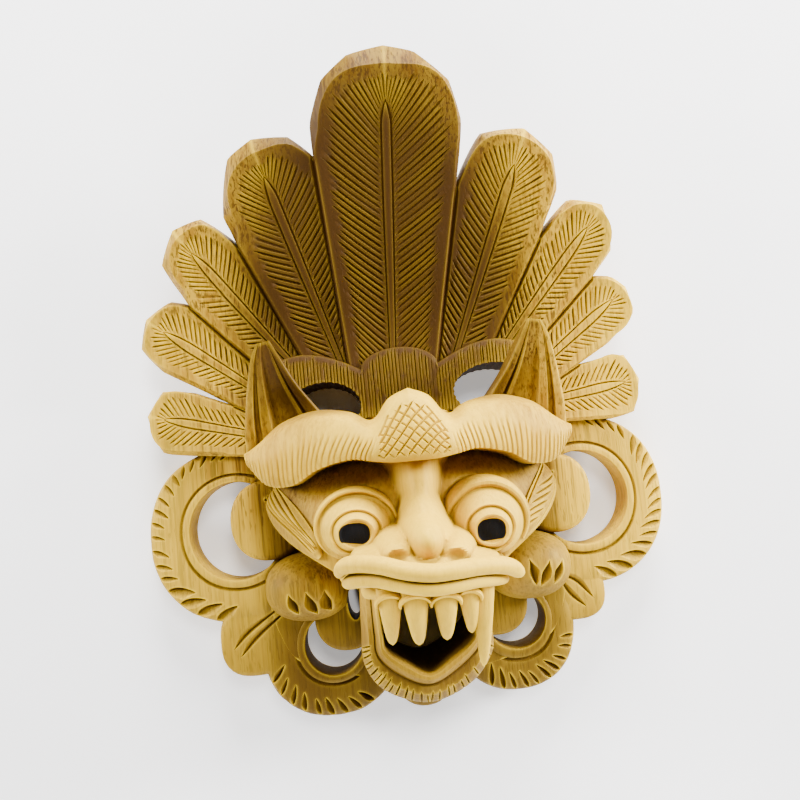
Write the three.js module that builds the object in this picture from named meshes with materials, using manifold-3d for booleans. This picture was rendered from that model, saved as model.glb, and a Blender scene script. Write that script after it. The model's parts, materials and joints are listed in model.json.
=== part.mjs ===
// A wall mask of a fanged guardian beast, carved from one block of pale wood and hollowed behind.
// Millimetres. The mask lies on its sawn back at z = 0, +Z leaves the face, +Y runs up to the
// crown's tip and +X to the right of someone who faces it. The origin is under the box's middle.
import * as THREE from "three";
import Module from "manifold-3d";

const wasm = await Module();
wasm.setup();

// Driving dimensions.
const PLATE_FRONT = 12; // front of the sawn plate that the face and the scrolls grow from
const CROWN_ROOT_Z = 17; // crown surface where the feathers start
const CROWN_RISE = 33; // how far the tallest feather curls forward of that
const CROWN_START_Y = 5;
const CROWN_TOP_Y = 100;
const CROWN_FLARE = 2.5; // forward rise of the outermost feathers
const CROWN_HALF_WIDTH = 80;
const CROWN_CURL = 1.6;
const FEATHER_THICKNESS = 7;

// Feathers, from the middle outwards: cut by hand, so each side's differ a little. Layer is how
// far each lies behind the middle one.
const FEATHERS = [
  { root: [-2, 6], tip: [3, 100], half: 23.4, layer: 0 },
  { root: [-18, 10], tip: [-39.9, 79.1], half: 17, layer: 1.2 },
  { root: [18, 9], tip: [45, 76.5], half: 16, layer: 1.2 },
  { root: [-31.1, 8.7], tip: [-67.3, 56], half: 12.4, layer: 2 },
  { root: [31.9, 8.9], tip: [69.3, 53.5], half: 11.3, layer: 2 },
  { root: [-42, 2], tip: [-79.3, 30.3], half: 11.3, layer: 2.8 },
  { root: [42, 2], tip: [76.3, 28], half: 10.5, layer: 2.8 },
  { root: [-44, -10], tip: [-81.9, 0], half: 10.8, layer: 3.2 },
  { root: [44, -7], tip: [78.3, -2], half: 11, layer: 3.2 },
];

const HEAD = { middle: -44, half: [50, 36], base: 12, top: 52 };
const HEAD_TOP_Y = -9;
const MOUTH_TOP_Y = -58;

// The two eyes, of which the left sits a little higher. Each ball is less tall than wide and leans
// towards the chin, with a roll for a lid.
const EYES = [
  { at: [-17.5, -39], z: 52, radius: 10, iris: 6, pupil: 4.1, tall: 0.86, lean: 0.17, roll: 1.4 },
  { at: [18.6, -41], z: 52, radius: 10.2, iris: 5.8, pupil: 4, tall: 0.94, lean: 0.2, roll: 2.4 },
];
const EYE_BOWL = { off: 18.9, y: -37.8, radius: 15.5, depth: 42 };

// Scrolls, each a flat ring round a hole, and the two holes under the crown.
const BIG_SCROLLS = [
  { at: [-57, -40], outer: [28, 28], hole: [15, 15.7], holeAt: [-56.9, -39] },
  { at: [56, -39.5], outer: [27, 27.5], hole: [14.7, 15.3], holeAt: [56.1, -38.8] },
];
const SMALL_SCROLLS = [
  { at: [-30, -78.5], outer: [21.5, 21.7], hole: [9.3, 9.7], holeAt: [-28.8, -77.6] },
  { at: [29.5, -78], outer: [19.6, 20.2], hole: [9.5, 9.3], holeAt: [30.1, -75.6] },
];
const CROWN_HOLES = [
  { at: [-25, -2.5], half: [11.5, 8] },
  { at: [30, -1], half: [13, 8.2] },
];
const HOLLOW = { at: [0, -34], half: [34, 28], depth: 40 };

// ---- small maths ----

const lerp = (a, b, t) => a + (b - a) * t;
const clamp01 = (t) => Math.min(1, Math.max(0, t));
const ease = (t) => clamp01(t) ** 2 * (3 - 2 * clamp01(t));
const range = (n, at) => Array.from({ length: n }, (_, i) => at(i));
const steps = (n) => range(n + 1, (i) => i / n);

// Smooth maximum and minimum of two heights, which meet in a fillet of about r.
const blendMax = (a, b, r) => {
  const h = clamp01(0.5 + (a - b) / (2 * r));
  return lerp(b, a, h) + r * h * (1 - h);
};
const blendMin = (a, b, r) => -blendMax(-a, -b, r);

// A smooth curve through points of any dimension (uniform Catmull-Rom), for t from 0 to 1.
function through(points) {
  const last = points.length - 1;
  const mirrored = (a, b) => a.map((value, k) => 2 * value - b[k]);
  const all = [mirrored(points[0], points[1]), ...points, mirrored(points[last], points[last - 1])];
  return (t) => {
    const i = Math.min(last - 1, Math.floor(clamp01(t) * last));
    const s = clamp01(t) * last - i;
    const [a, b, c, d] = all.slice(i, i + 4);
    return b.map((value, k) => {
      const linear = c[k] - a[k];
      const square = 2 * a[k] - 5 * value + 4 * c[k] - d[k];
      const cube = 3 * (value - c[k]) + d[k] - a[k];
      return value + 0.5 * s * (linear + s * (square + s * cube));
    });
  };
}

// Point at angle a on a rounded box of half sizes [rx, ry]; power 2 is an ellipse.
function rounded([cx, cy], [rx, ry], a, power = 2) {
  const c = Math.cos(a);
  const s = Math.sin(a);
  const reach = (Math.abs(c) ** power + Math.abs(s) ** power) ** (-1 / power);
  return [cx + rx * c * reach, cy + ry * s * reach];
}

// ---- closed solids ----

// A solid from corner points and triangles: equal corners are merged, collapsed triangles go,
// and the faces are turned outwards.
function closed(points, triangles) {
  const index = new Map();
  const corners = [];
  const corner = points.map((p) => {
    const key = p.map((v) => v.toFixed(4)).join();
    if (!index.has(key)) {
      index.set(key, corners.length);
      corners.push(p);
    }
    return index.get(key);
  });
  const kept = triangles
    .map((t) => t.map((i) => corner[i]))
    .filter(([a, b, c]) => a !== b && b !== c && c !== a);
  const volume = kept.reduce((sum, [a, b, c]) => {
    const [p, q, r] = [corners[a], corners[b], corners[c]].map((v) => new THREE.Vector3(...v));
    return sum + p.dot(q.cross(r));
  }, 0);
  const facing = volume < 0 ? kept.map(([a, b, c]) => [a, c, b]) : kept;
  return new wasm.Manifold(
    new wasm.Mesh({
      numProp: 3,
      vertProperties: new Float32Array(corners.flat()),
      triVerts: new Uint32Array(facing.flat()),
    }),
  );
}

// A solid through closed rings of equally many points. An open loft is capped by triangles that
// zip the first `front` points of an end ring to the rest; a loop joins the last ring to the first.
function loft(rings, { loop = false, front = rings[0].length / 2 } = {}) {
  const n = rings[0].length;
  const triangles = [];
  const quad = (a, b, c, d) => triangles.push([a, b, c], [a, c, d]);
  range(loop ? rings.length : rings.length - 1, (i) => {
    const next = ((i + 1) % rings.length) * n;
    range(n, (j) => quad(i * n + j, i * n + ((j + 1) % n), next + ((j + 1) % n), next + j));
  });
  const end = (rings.length - 1) * n;
  const cap = (a, b, c) => triangles.push([a, b, c], [end + a, end + c, end + b]);
  let [i, j] = [0, n - 1];
  while (!loop && j - i > 1) {
    const frontFirst = (i + 1) / (front - 1) <= (n - j) / (n - front - 1);
    cap(i, j, frontFirst ? i + 1 : j - 1);
    frontFirst ? (i += 1) : (j -= 1);
  }
  return closed(rings.flat(), triangles);
}

// A slab between a front and a back surface, both functions of (u, v).
function slab(us, vs, front, back, backUs = us) {
  const behind = [...backUs].reverse();
  const rings = vs.map((v) => [...us.map((u) => front(u, v)), ...behind.map((u) => back(u, v))]);
  return loft(rings, { front: us.length });
}

// A tube along path(t), a function to [x, y, z], with half sizes half(t) = [across, deep]. Its
// section lies across the path and stays level with +Z; a higher power squares it.
function tube(path, half, count, sides, power = 2) {
  const up = new THREE.Vector3(0, 0, 1);
  const rings = steps(count).map((t) => {
    const here = new THREE.Vector3(...path(t));
    const ahead = new THREE.Vector3(...path(Math.min(1, t + 0.01)));
    const behind = new THREE.Vector3(...path(Math.max(0, t - 0.01)));
    const along = ahead.sub(behind).normalize();
    const across = new THREE.Vector3().crossVectors(along, up).normalize();
    const deep = new THREE.Vector3().crossVectors(across, along);
    return range(sides, (k) => {
      const [a, b] = rounded([0, 0], half(t), ((k + 0.5) * 2 * Math.PI) / sides, power);
      return here.clone().addScaledVector(across, a).addScaledVector(deep, b).toArray();
    });
  });
  return loft(rings);
}

// An egg shape with its poles on Z.
function egg([x, y, z], [rx, ry, rz], count, sides) {
  const rings = steps(count).map((t) => {
    const rise = Math.PI * (t - 0.5);
    const reach = Math.max(1e-3, Math.cos(rise));
    return range(sides, (k) => {
      const turn = (k * 2 * Math.PI) / sides;
      return [x + rx * reach * Math.cos(turn), y + ry * reach * Math.sin(turn), z + rz * Math.sin(rise)];
    });
  });
  return loft(rings);
}

// A straight-sided solid over the outline at(a), a function of the angle, from low to high.
function prism(at, low, high, sides) {
  const outline = range(sides, (k) => at((k * 2 * Math.PI) / sides));
  return loft([low, high].map((z) => outline.map(([x, y]) => [x, y, z])));
}

const joined = (solids) => solids.reduce((all, solid) => all.add(solid));
const bothSides = (make) => [make(1), make(-1)];

// ---- crown ----

// Height of the crown's hollow front over (x, y): low at the root, curling forward to the tips.
function crownZ(x, y) {
  const up = Math.max(0, (y - CROWN_START_Y) / (CROWN_TOP_Y - CROWN_START_Y));
  return CROWN_ROOT_Z + CROWN_RISE * up ** CROWN_CURL + CROWN_FLARE * (x / CROWN_HALF_WIDTH) ** 2;
}

// Unit normal of the crown's front.
function crownNormal(x, y) {
  const step = 0.5;
  const slopeX = (crownZ(x + step, y) - crownZ(x - step, y)) / (2 * step);
  const slopeY = (crownZ(x, y + step) - crownZ(x, y - step)) / (2 * step);
  return new THREE.Vector3(-slopeX, -slopeY, 1).normalize();
}

// Share of a feather's half width at v from root to tip: it widens evenly and ends in an arch.
const ARCH_START = 0.76;
const ROOT_WIDTH = 0.6;
function featherWidth(v) {
  const widening = lerp(ROOT_WIDTH, 1, Math.min(1, v / ARCH_START));
  const arch = Math.max(0, (v - ARCH_START) / (1 - ARCH_START));
  return widening * Math.sqrt(Math.max(0, 1 - arch ** 2.4));
}

// One feather: a leaf of even thickness on the crown's surface, with a raised rib between two
// furrows and a bevelled rim.
const FEATHER_STATIONS = [0, 0.38, 0.76, 0.87, 0.94, 0.985, 1];
const FEATHER_PROFILE = [
  [0, 0.9],
  [0.06, 0.9],
  [0.13, 0.3],
  [0.9, 0.6],
  [1, -0.6],
];
function feather({ root, tip, half, layer }) {
  const [dx, dy] = [tip[0] - root[0], tip[1] - root[1]];
  const length = Math.hypot(dx, dy);
  const surface = (u, v, lift) => {
    const across = u * half * featherWidth(v);
    const x = root[0] + dx * v + (across * dy) / length;
    const y = root[1] + dy * v - (across * dx) / length;
    const n = crownNormal(x, y);
    return [x + n.x * lift, y + n.y * lift, crownZ(x, y) - layer + n.z * lift];
  };
  const half1 = FEATHER_PROFILE.slice(1);
  const profile = [...half1.map(([u, lift]) => [-u, lift]).reverse(), ...half1];
  return slab(
    profile,
    FEATHER_STATIONS,
    ([u, lift], v) => surface(u, v, lift * featherWidth(v)),
    (u, v) => surface(u, v, -FEATHER_THICKNESS),
    [-1, 0, 1],
  );
}

// The headband below the feathers: its top edge is one arch between two wider ones.
const BAND_FRONT = 19.5;
const BAND_HALF = 46;
const ARCH_HALF = 12.3;
const ARCH_FOOT = 8.5;
const ARCH_HEIGHT = 6.3;
function bandTop(x) {
  const off = Math.abs(x);
  if (off < ARCH_HALF) return ARCH_FOOT + ARCH_HEIGHT * Math.sqrt(1 - (off / ARCH_HALF) ** 2);
  return ARCH_FOOT + ARCH_HEIGHT * Math.sin((Math.PI * (off - ARCH_HALF)) / 37);
}
function headband() {
  const half = [0, 4.5, 8.5, 11.2, ARCH_HALF, 17, 23, 30, 38, BAND_HALF];
  const xs = [...half.slice(1).reverse().map((x) => -x), ...half];
  return slab(
    [-24, 0, 0.82, 1],
    xs,
    (u, x) => [x, u <= 0 ? u : u * bandTop(x), BAND_FRONT - (u === 1 ? 0.8 : 0)],
    (u, x) => [x, u <= 0 ? u : u * bandTop(x), 0],
  );
}

// ---- plate and scrolls ----

// Half width of the plate behind the face, from the chin up to the headband.
const plateHalf = through([
  [9, -91],
  [37, -84],
  [46, -72],
  [49, -55],
  [50, -35],
  [49, -12],
  [44, 4],
]);
const plate = () =>
  slab(
    [-1, 1],
    steps(10),
    (u, v) => [u * plateHalf(v)[0], plateHalf(v)[1], PLATE_FRONT],
    (u, v) => [u * plateHalf(v)[0], plateHalf(v)[1], 0],
  );

// A scroll: a flat ring with a raised lip round its hole and an eased outer edge.
function scroll({ at, outer, hole, holeAt }, sides) {
  const rings = range(sides, (k) => {
    const turn = (k * 2 * Math.PI) / sides;
    const [ix, iy] = rounded(holeAt, hole, turn);
    const [ox, oy] = rounded(at, outer, turn, 2.2);
    const profile = [
      [0, 0],
      [0, PLATE_FRONT + 0.9],
      [0.2, PLATE_FRONT + 0.9],
      [0.26, PLATE_FRONT],
      [0.88, PLATE_FRONT - 0.4],
      [1, PLATE_FRONT - 2.4],
      [1, 0],
    ];
    return profile.map(([s, z]) => [lerp(ix, ox, s), lerp(iy, oy, s), z]);
  });
  return loft(rings, { loop: true });
}
// What to clear from the plate before a scroll goes in: a little more than the scroll's own hole.
const clearing = ({ hole, holeAt }) =>
  prism((a) => rounded(holeAt, [hole[0] + 1.5, hole[1] + 1.5], a), -1, 60, 16);

// A lobe with upright sides: its profile lists shares of the outline against heights.
const flat = (front) => [
  [1, 0],
  [1, front - 2],
  [0.85, front],
];
function lobe(at, half, profile, side, power = 2.2) {
  const rings = profile.map(([share, z]) =>
    range(14, (k) => {
      const [x, y] = rounded(at, half, (k * Math.PI) / 7, power);
      return [side * lerp(at[0], x, share), lerp(at[1], y, share), z];
    }),
  );
  return loft(rings);
}

// ---- head ----

// Height of an elliptical mound over (x, y), or far below where it doesn't reach.
function mound(x, y, { at, half, base, top, fullness = 0.5 }) {
  const d = ((x - at[0]) / half[0]) ** 2 + ((y - at[1]) / half[1]) ** 2;
  return d >= 1 ? base - 12 * (d - 1) : base + (top - base) * (1 - d) ** fullness;
}

const SNOUT = { at: [0, -57], half: [26, 17.5], base: 30, top: 80, fullness: 0.42 };

// Front of the head above the mouth: a dome with the snout, and a hollow round each eye.
function headZ(x, y) {
  const off = Math.abs(x);
  const dome = mound(x, y, {
    at: [0, HEAD.middle],
    half: HEAD.half,
    base: HEAD.base,
    top: HEAD.top,
    fullness: 0.5,
  });
  const z = blendMax(dome, mound(x, y, SNOUT), 3);
  const fromEye = Math.hypot(off - EYE_BOWL.off, y - EYE_BOWL.y);
  return blendMin(z, EYE_BOWL.depth + 24 * (fromEye / EYE_BOWL.radius) ** 4, 2);
}
const headHalf = through([
  [20, MOUTH_TOP_Y],
  [25.5, -52],
  [38.5, -42],
  [46, -32],
  [47, -22],
  [44, HEAD_TOP_Y],
]);
function head() {
  const us = range(17, (i) => Math.sin((i / 8 - 1) * 1.25) / Math.sin(1.25));
  return slab(
    us,
    steps(12),
    (u, v) => {
      const [half, y] = headHalf(v);
      return [u * half, y, Math.max(9, headZ(u * half, y))];
    },
    (u, v) => [u * headHalf(v)[0], headHalf(v)[1], 5],
    [-1, 1],
  );
}

// The nose: a flat bridge that widens between the eyes, a round tip, and a wing that arches over
// each nostril.
const NOSE_RIDGE = through([
  [4.4, -16, 56],
  [3.4, -25, 58.5],
  [2.9, -32, 62.5],
  [3.6, -38, 69],
  [4.8, -44.5, 76.5],
]);
function noseBridge() {
  const front = (u, v) => {
    const [half, y, z] = NOSE_RIDGE(v);
    return [u * half, y, z - 5 * Math.max(0, Math.abs(u) - 1)];
  };
  return slab([-2, -1, 1, 2], steps(6), front, (u, v) => [front(u, v)[0], NOSE_RIDGE(v)[1], 40]);
}
const noseTip = () => egg([0.2, -43.8, 73.5], [5.2, 5.6, 8.2], 8, 12);
const NOSE_WING = through([
  [3.7, -47.6, 74],
  [4.7, -43.5, 74.5],
  [7.2, -41.9, 74],
  [9.8, -43.2, 72.5],
  [11.2, -46.4, 71],
]);
function noseWing(side) {
  const path = (t) => {
    const [x, y, z] = NOSE_WING(t);
    return [side * x, y, z - 2];
  };
  return tube(path, () => [1.5, 5], 6, 6);
}

// The brow: a heavy scalloped ledge, peaked in the middle.
const BROW_TOP = through([
  [0, -4.7, 64],
  [5.6, -7.2, 63.5],
  [10.6, -12.4, 61],
  [17, -9.3, 57.5],
  [27, -7.8, 52.5],
  [37, -10, 47.5],
  [44, -13.8, 42.5],
  [49, -15.6, 38],
]);
const BROW_FOOT = through([
  [0, -22.7, 67],
  [6, -22.6, 66.5],
  [11.5, -21.8, 64],
  [18, -20.8, 60.5],
  [27, -22.6, 55],
  [34.5, -26.2, 49.5],
  [42.5, -25, 44],
  [49, -18, 38.5],
]);
function brow() {
  const across = steps(9);
  const stations = [...across.slice(1).reverse().map((t) => -t), ...across];
  const edge = (curve, t, deep) => {
    const [x, y, z] = curve(Math.abs(t));
    return [Math.sign(t) * x, y, z - deep];
  };
  const front = (u, t) => {
    const low = edge(BROW_FOOT, t, 0);
    const high = edge(BROW_TOP, t, 0);
    const bulge = 2.6 * Math.sin(Math.PI * clamp01(u)) ** 0.7;
    return [lerp(low[0], high[0], u), lerp(low[1], high[1], u), lerp(low[2], high[2], u) + bulge - 2];
  };
  const back = (u, t) => {
    const [x, y] = front(u, t);
    return [x * 0.96, y, lerp(36, 18, Math.abs(t))];
  };
  return slab([0, 0.12, 0.5, 0.88, 1], stations, front, back, [0, 1]);
}

// An eye: a ball with a raised ring and a shallow dish for the pupil, looking slightly down.
function eye({ at, z: rise, radius: r, iris, pupil, tall, lean }) {
  const ball = (radius, lift = 0) => [radius, Math.sqrt(r * r - radius * radius) + lift];
  const profile = [
    [0.02, -18],
    [r - 1, -17],
    ball(r - 0.02),
    ball(8.6),
    ball(iris + 0.6),
    ball(iris, -0.7),
    ball(iris - 0.6, 0.5),
    ball(pupil + 0.3, 0.7),
    ball(pupil - 0.2, -0.1),
    ball(0.02, -0.5),
  ];
  const tilt = new THREE.Euler(lean, 0, 0);
  const rings = profile.map(([radius, z]) =>
    range(12, (k) => {
      const turn = (k * Math.PI) / 6;
      const p = new THREE.Vector3(radius * Math.cos(turn), tall * radius * Math.sin(turn), z);
      p.applyEuler(tilt);
      return [p.x + at[0], p.y + at[1], p.z + rise];
    }),
  );
  return loft(rings);
}

// The lid: a roll that arches over the ball from the nose round to the temple.
function lid({ at, radius, tall, roll }) {
  const side = Math.sign(at[0]);
  const path = (t) => {
    const a = lerp(Math.PI * 1.12, -0.45, t);
    const wide = radius + 0.9;
    const high = wide * lerp(tall, 1, 0.35);
    return [at[0] + side * wide * Math.cos(a), at[1] + high * Math.sin(a), 44.6 + 2.5 * Math.sin(a)];
  };
  return tube(path, (t) => [roll * Math.sin(Math.PI * lerp(0.14, 0.86, t)), 9], 10, 6, 4);
}

// Two lips of the upper jaw, one above the other, with drooping ends.
const UPPER_LIP = through([
  [-22.4, -49.2, 69],
  [-20.6, -47.4, 73],
  [-16.5, -46.8, 77.5],
  [-11.5, -47.4, 81],
  [-6, -48.9, 83.5],
  [0, -49.9, 84],
  [6, -49.9, 83],
  [11.5, -49.9, 80],
  [16.5, -50.4, 76.5],
  [20.6, -51.6, 72.5],
  [23.4, -53.6, 69],
]);
const LOWER_LIP = through([
  [-20.8, -52, 68],
  [-17.8, -51, 73.5],
  [-13, -50.9, 77.5],
  [-8, -52, 80.5],
  [-3.5, -53.1, 82],
  [1, -53.6, 82.2],
  [6, -53.5, 80.5],
  [11, -53.3, 77.5],
  [16, -53.9, 73],
  [19.8, -54.8, 69],
]);
function lip(curve, size, count) {
  const half = (t) => {
    const taper = Math.sqrt(Math.max(0.02, 1 - Math.abs(2 * t - 1) ** 9));
    return [size[0] * taper, size[1] * taper];
  };
  return tube(curve, half, count, 8);
}

// The gum that the teeth hang from, and the teeth: flat cones from under the lip.
const TEETH = [
  { top: [-10.4, -54, 74.5], tip: [-10.6, -68.2, 70.5], half: [3.2, 2.7] },
  { top: [-4.2, -54.4, 76.8], tip: [-4, -68.4, 73], half: [3.6, 2.9] },
  { top: [3.3, -54.6, 76.8], tip: [3, -67.8, 73], half: [3.5, 2.9] },
  { top: [9.2, -54.4, 74.5], tip: [9.6, -67.2, 70.5], half: [3, 2.7] },
  { top: [13.4, -54, 72.5], tip: [12.2, -76.6, 66.5], half: [3, 2.7] },
];
function tooth({ top, tip, half }) {
  const path = (t) => {
    const point = top.map((value, k) => lerp(value, tip[k], t));
    return [point[0], point[1], point[2] + 1.4 * Math.sin(Math.PI * t)];
  };
  return tube(path, (t) => half.map((size) => size * (1 - 0.72 * t ** 1.3)), 4, 6);
}
const gum = () =>
  tube(
    (t) => [lerp(-15.4, 15.6, t), -55.2, 72.5 - 8 * (2 * t - 1) ** 2],
    () => [2.7, 3.6],
    6,
    6,
  );

// The lower jaw, with the walls that tie it to the upper one: a bevelled lip round the mouth's V,
// a furrow, and a fringe band outside it. It is thin in front and hollowed out towards the back,
// and its foot spreads towards the chin.
const JAW_INNER = through([
  [-13.2, -53],
  [-13.2, -61],
  [-12.8, -69],
  [-12, -72.8],
  [-7, -76.4],
  [-1.2, -79.2],
  [5, -76],
  [11, -72.2],
  [12.2, -69],
  [13, -61],
  [13.2, -53],
]);
const JAW_OUTER = through([
  [-18, -53],
  [-18.6, -61],
  [-19, -69],
  [-18.9, -78],
  [-13.6, -85.4],
  [-1.5, -89.3],
  [10.6, -85.4],
  [17.6, -77.5],
  [18.1, -69],
  [18.2, -61],
  [17.6, -53],
]);
const JAW_FOOT_SPREAD = 6;
function jaw() {
  const rings = steps(16).map((t) => {
    const [ix, iy] = JAW_INNER(t);
    const [ox, oy] = JAW_OUTER(t);
    const off = Math.abs(2 * t - 1);
    const lift = 11 * clamp01((off - 0.62) / 0.38) ** 1.4 - 3.5 * ease(off / 0.6);
    const spread = JAW_FOOT_SPREAD * Math.max(0, 1 - off * 2.1);
    const profile = [
      [0.38, 4, 0],
      [0, 55 + lift, 0],
      [0.14, 58 + lift, 0],
      [0.4, 57 + lift, 0],
      [0.52, 53.5 + lift, 0],
      [0.9, 49 + lift, 0],
      [1, 45.5 + lift, 0],
      [1, 12, 1],
      [0.8, 4, 1],
    ];
    return profile.map(([s, z, foot]) => [lerp(ix, ox, s), lerp(iy, oy, s) - spread * foot, z]);
  });
  return loft(rings);
}

// The cheeks, and a veined leaf that lies along each temple.
const CHEEK_PROFILE = [
  [1, 2],
  [1, 15],
  [0.9, 22],
  [0.68, 27],
  [0.3, 29.5],
];
const cheek = (side) => lobe([34.8, -58.2], [13.8, 10.6], CHEEK_PROFILE, side);
function templeLeaf(side) {
  const [from, to] = [
    [46, -25],
    [26, -46],
  ];
  const [dx, dy] = [to[0] - from[0], to[1] - from[1]];
  const length = Math.hypot(dx, dy);
  const surface = (u, v, lift) => {
    const across = u * 5 * Math.sin(Math.PI * lerp(0.06, 0.97, v)) ** 0.7;
    const x = lerp(from[0], to[0], v) - (across * dy) / length;
    const y = lerp(from[1], to[1], v) + (across * dx) / length;
    return [side * x, y, Math.max(12, headZ(x, y)) + lift];
  };
  return slab(
    [-1, -0.4, 0.4, 1],
    steps(7),
    (u, v) => surface(u, v, 2.2 - 1.2 * u * u),
    (u, v) => surface(u, v, -4),
  );
}

// An ear: a pointed leaf that stands before the crown, with a rim and a middle rib.
const EAR_OUTER = through([
  [49.5, -18, 29],
  [49, -8, 32],
  [46.8, 3, 36],
  [43.6, 12.5, 39.5],
  [40.8, 16.6, 41],
]);
const EAR_INNER = through([
  [20, -14, 30],
  [25.5, -5, 33],
  [32, 3.5, 36.5],
  [37.2, 12, 39.5],
  [40, 16.6, 41],
]);
function ear(side) {
  const front = (u, v) => {
    const [a, b] = [EAR_OUTER(v), EAR_INNER(v)];
    const wave = 0.5 - 0.5 * Math.cos(4 * Math.PI * u);
    const relief = -1.5 * wave * (1 - v ** 3);
    return [side * lerp(a[0], b[0], u), lerp(a[1], b[1], u), lerp(a[2], b[2], u) + relief];
  };
  const back = (u, v) => {
    const [x, y, z] = front(u, v);
    return [x, y, Math.min(z - 5, lerp(10, 34, v ** 1.5))];
  };
  return slab(steps(8), [0, 0.25, 0.5, 0.75, 0.92, 1], front, back, [0, 0.5, 1]);
}

// ---- hollows ----

const hollow = () => egg([...HOLLOW.at, 0], [...HOLLOW.half, HOLLOW.depth], 8, 18);
const MOUTH_FRONT = [
  [-13.4, -56],
  [13.2, -56],
  [12.6, -69],
  [11.2, -72.4],
  [5, -76.2],
  [-1.2, -79.4],
  [-6.8, -76.6],
  [-12.2, -73],
];
const MOUTH_BACK = [
  [-14, -52],
  [15, -52],
  [15.5, -70],
  [14.8, -80.5],
  [7.5, -85.4],
  [-1, -86.2],
  [-8, -84.6],
  [-13.5, -81.5],
];
const mouthHole = () =>
  loft([MOUTH_BACK.map(([x, y]) => [x, y, -1]), MOUTH_FRONT.map(([x, y]) => [x, y, 62])]);

// The slot that daylight shows through beside the left wall of the mouth.
const cheekSlot = () => prism((a) => rounded([-21.2, -65], [2.2, 5.5], a), -1, 60, 8);
const crownHole = ({ at, half }) => prism((a) => rounded(at, half, a), -1, 60, 16);

// ---- the mask ----

function carving() {
  const scrolls = [...BIG_SCROLLS, ...SMALL_SCROLLS];
  const ground = joined([
    plate(),
    headband(),
    lobe([-54, -74], [11, 11.5], flat(PLATE_FRONT - 0.5), 1, 2.6),
    lobe([50, -69], [10.5, 9.2], flat(PLATE_FRONT - 0.5), 1, 2.6),
    lobe([-1, -88], [10, 11.6], flat(PLATE_FRONT), 1),
  ]).subtract(joined([...scrolls.map(clearing), ...CROWN_HOLES.map(crownHole)]));
  const face = joined([
    ...FEATHERS.map(feather),
    ...BIG_SCROLLS.map((one) => scroll(one, 22)),
    ...SMALL_SCROLLS.map((one) => scroll(one, 16)),
    ...bothSides((side) => lobe([46.5, -36.5], [12, 12.8], flat(15), side)),
    ...bothSides((side) => lobe([24, -69.5], [10.3, 10.5], flat(14), side)),
    head(),
    ...bothSides(cheek),
    ...bothSides(templeLeaf),
  ]);
  const opened = ground.add(face).subtract(hollow()).subtract(mouthHole()).subtract(cheekSlot());
  return joined([
    opened,
    brow(),
    noseBridge(),
    noseTip(),
    ...bothSides(noseWing),
    ...bothSides(ear),
    ...EYES.map(eye),
    ...EYES.map(lid),
    lip(UPPER_LIP, [2.3, 3.6], 14),
    lip(LOWER_LIP, [2.2, 3.2], 12),
    gum(),
    ...TEETH.map(tooth),
    jaw(),
  ]);
}

// The same solid, set on z = 0 with the middle of its box over the origin.
function centred(solid) {
  const { min, max } = solid.boundingBox();
  return solid.translate([-(min[0] + max[0]) / 2, -(min[1] + max[1]) / 2, -min[2]]);
}

function meshOf(solid, name, material) {
  const { vertProperties, triVerts } = solid.getMesh();
  const geometry = new THREE.BufferGeometry();
  geometry.setAttribute("position", new THREE.BufferAttribute(vertProperties, 3));
  geometry.setIndex(new THREE.BufferAttribute(triVerts, 1));
  geometry.computeVertexNormals();
  const mesh = new THREE.Mesh(geometry, material);
  mesh.name = name;
  return mesh;
}

const paleWood = new THREE.MeshStandardMaterial({ color: 0xd2ac68, roughness: 0.62, metalness: 0 });

const mask = new THREE.Group();
mask.add(meshOf(centred(carving()), "carved_mask", paleWood));

export default mask;
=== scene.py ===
"""Carves a wooden guardian mask in fine detail over its plain solid, finishes it as pale wood and
lays it on a pale floor. Carving sizes are millimetres; a piece is turned into metres when its mesh
is made. The mask lies on its back: +X to the right, +Y up to the crown's tip, +Z out of the face."""

import json
import math

import bpy
import numpy as np
from mathutils import Matrix, Vector

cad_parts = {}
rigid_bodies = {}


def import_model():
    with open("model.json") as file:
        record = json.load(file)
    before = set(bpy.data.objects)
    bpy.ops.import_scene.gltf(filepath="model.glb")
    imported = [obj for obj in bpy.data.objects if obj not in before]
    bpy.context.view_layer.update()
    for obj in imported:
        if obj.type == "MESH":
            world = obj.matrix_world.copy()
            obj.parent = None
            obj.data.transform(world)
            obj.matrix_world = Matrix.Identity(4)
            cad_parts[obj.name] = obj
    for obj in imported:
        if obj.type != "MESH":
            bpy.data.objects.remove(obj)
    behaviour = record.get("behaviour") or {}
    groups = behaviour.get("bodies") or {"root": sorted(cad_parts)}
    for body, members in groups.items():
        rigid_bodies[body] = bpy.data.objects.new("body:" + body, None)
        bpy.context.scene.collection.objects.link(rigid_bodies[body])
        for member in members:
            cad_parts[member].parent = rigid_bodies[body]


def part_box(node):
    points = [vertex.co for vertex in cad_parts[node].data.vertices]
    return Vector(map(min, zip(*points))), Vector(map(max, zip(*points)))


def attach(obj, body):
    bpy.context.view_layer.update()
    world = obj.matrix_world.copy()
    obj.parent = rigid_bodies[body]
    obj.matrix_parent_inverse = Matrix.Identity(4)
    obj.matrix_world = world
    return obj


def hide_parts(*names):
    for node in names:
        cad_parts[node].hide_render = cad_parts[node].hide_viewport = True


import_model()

bl_info = {
    "name": "Carved guardian mask",
    "version": (1, 0, 0),
    "blender": (4, 5, 0),
    "location": "View3D > Sidebar > Mask",
    "description": "Builds a carved wooden guardian mask with its feathers, scrolls and face",
    "category": "Add Mesh",
}

NODE = "carved_mask"
# The carving is laid out round the nose line; this brings it over the middle of the solid's box.
TO_BOX_MIDDLE = np.array([1.0, -1.6, 0.0])

# ---- the mask's own shape ----

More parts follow.
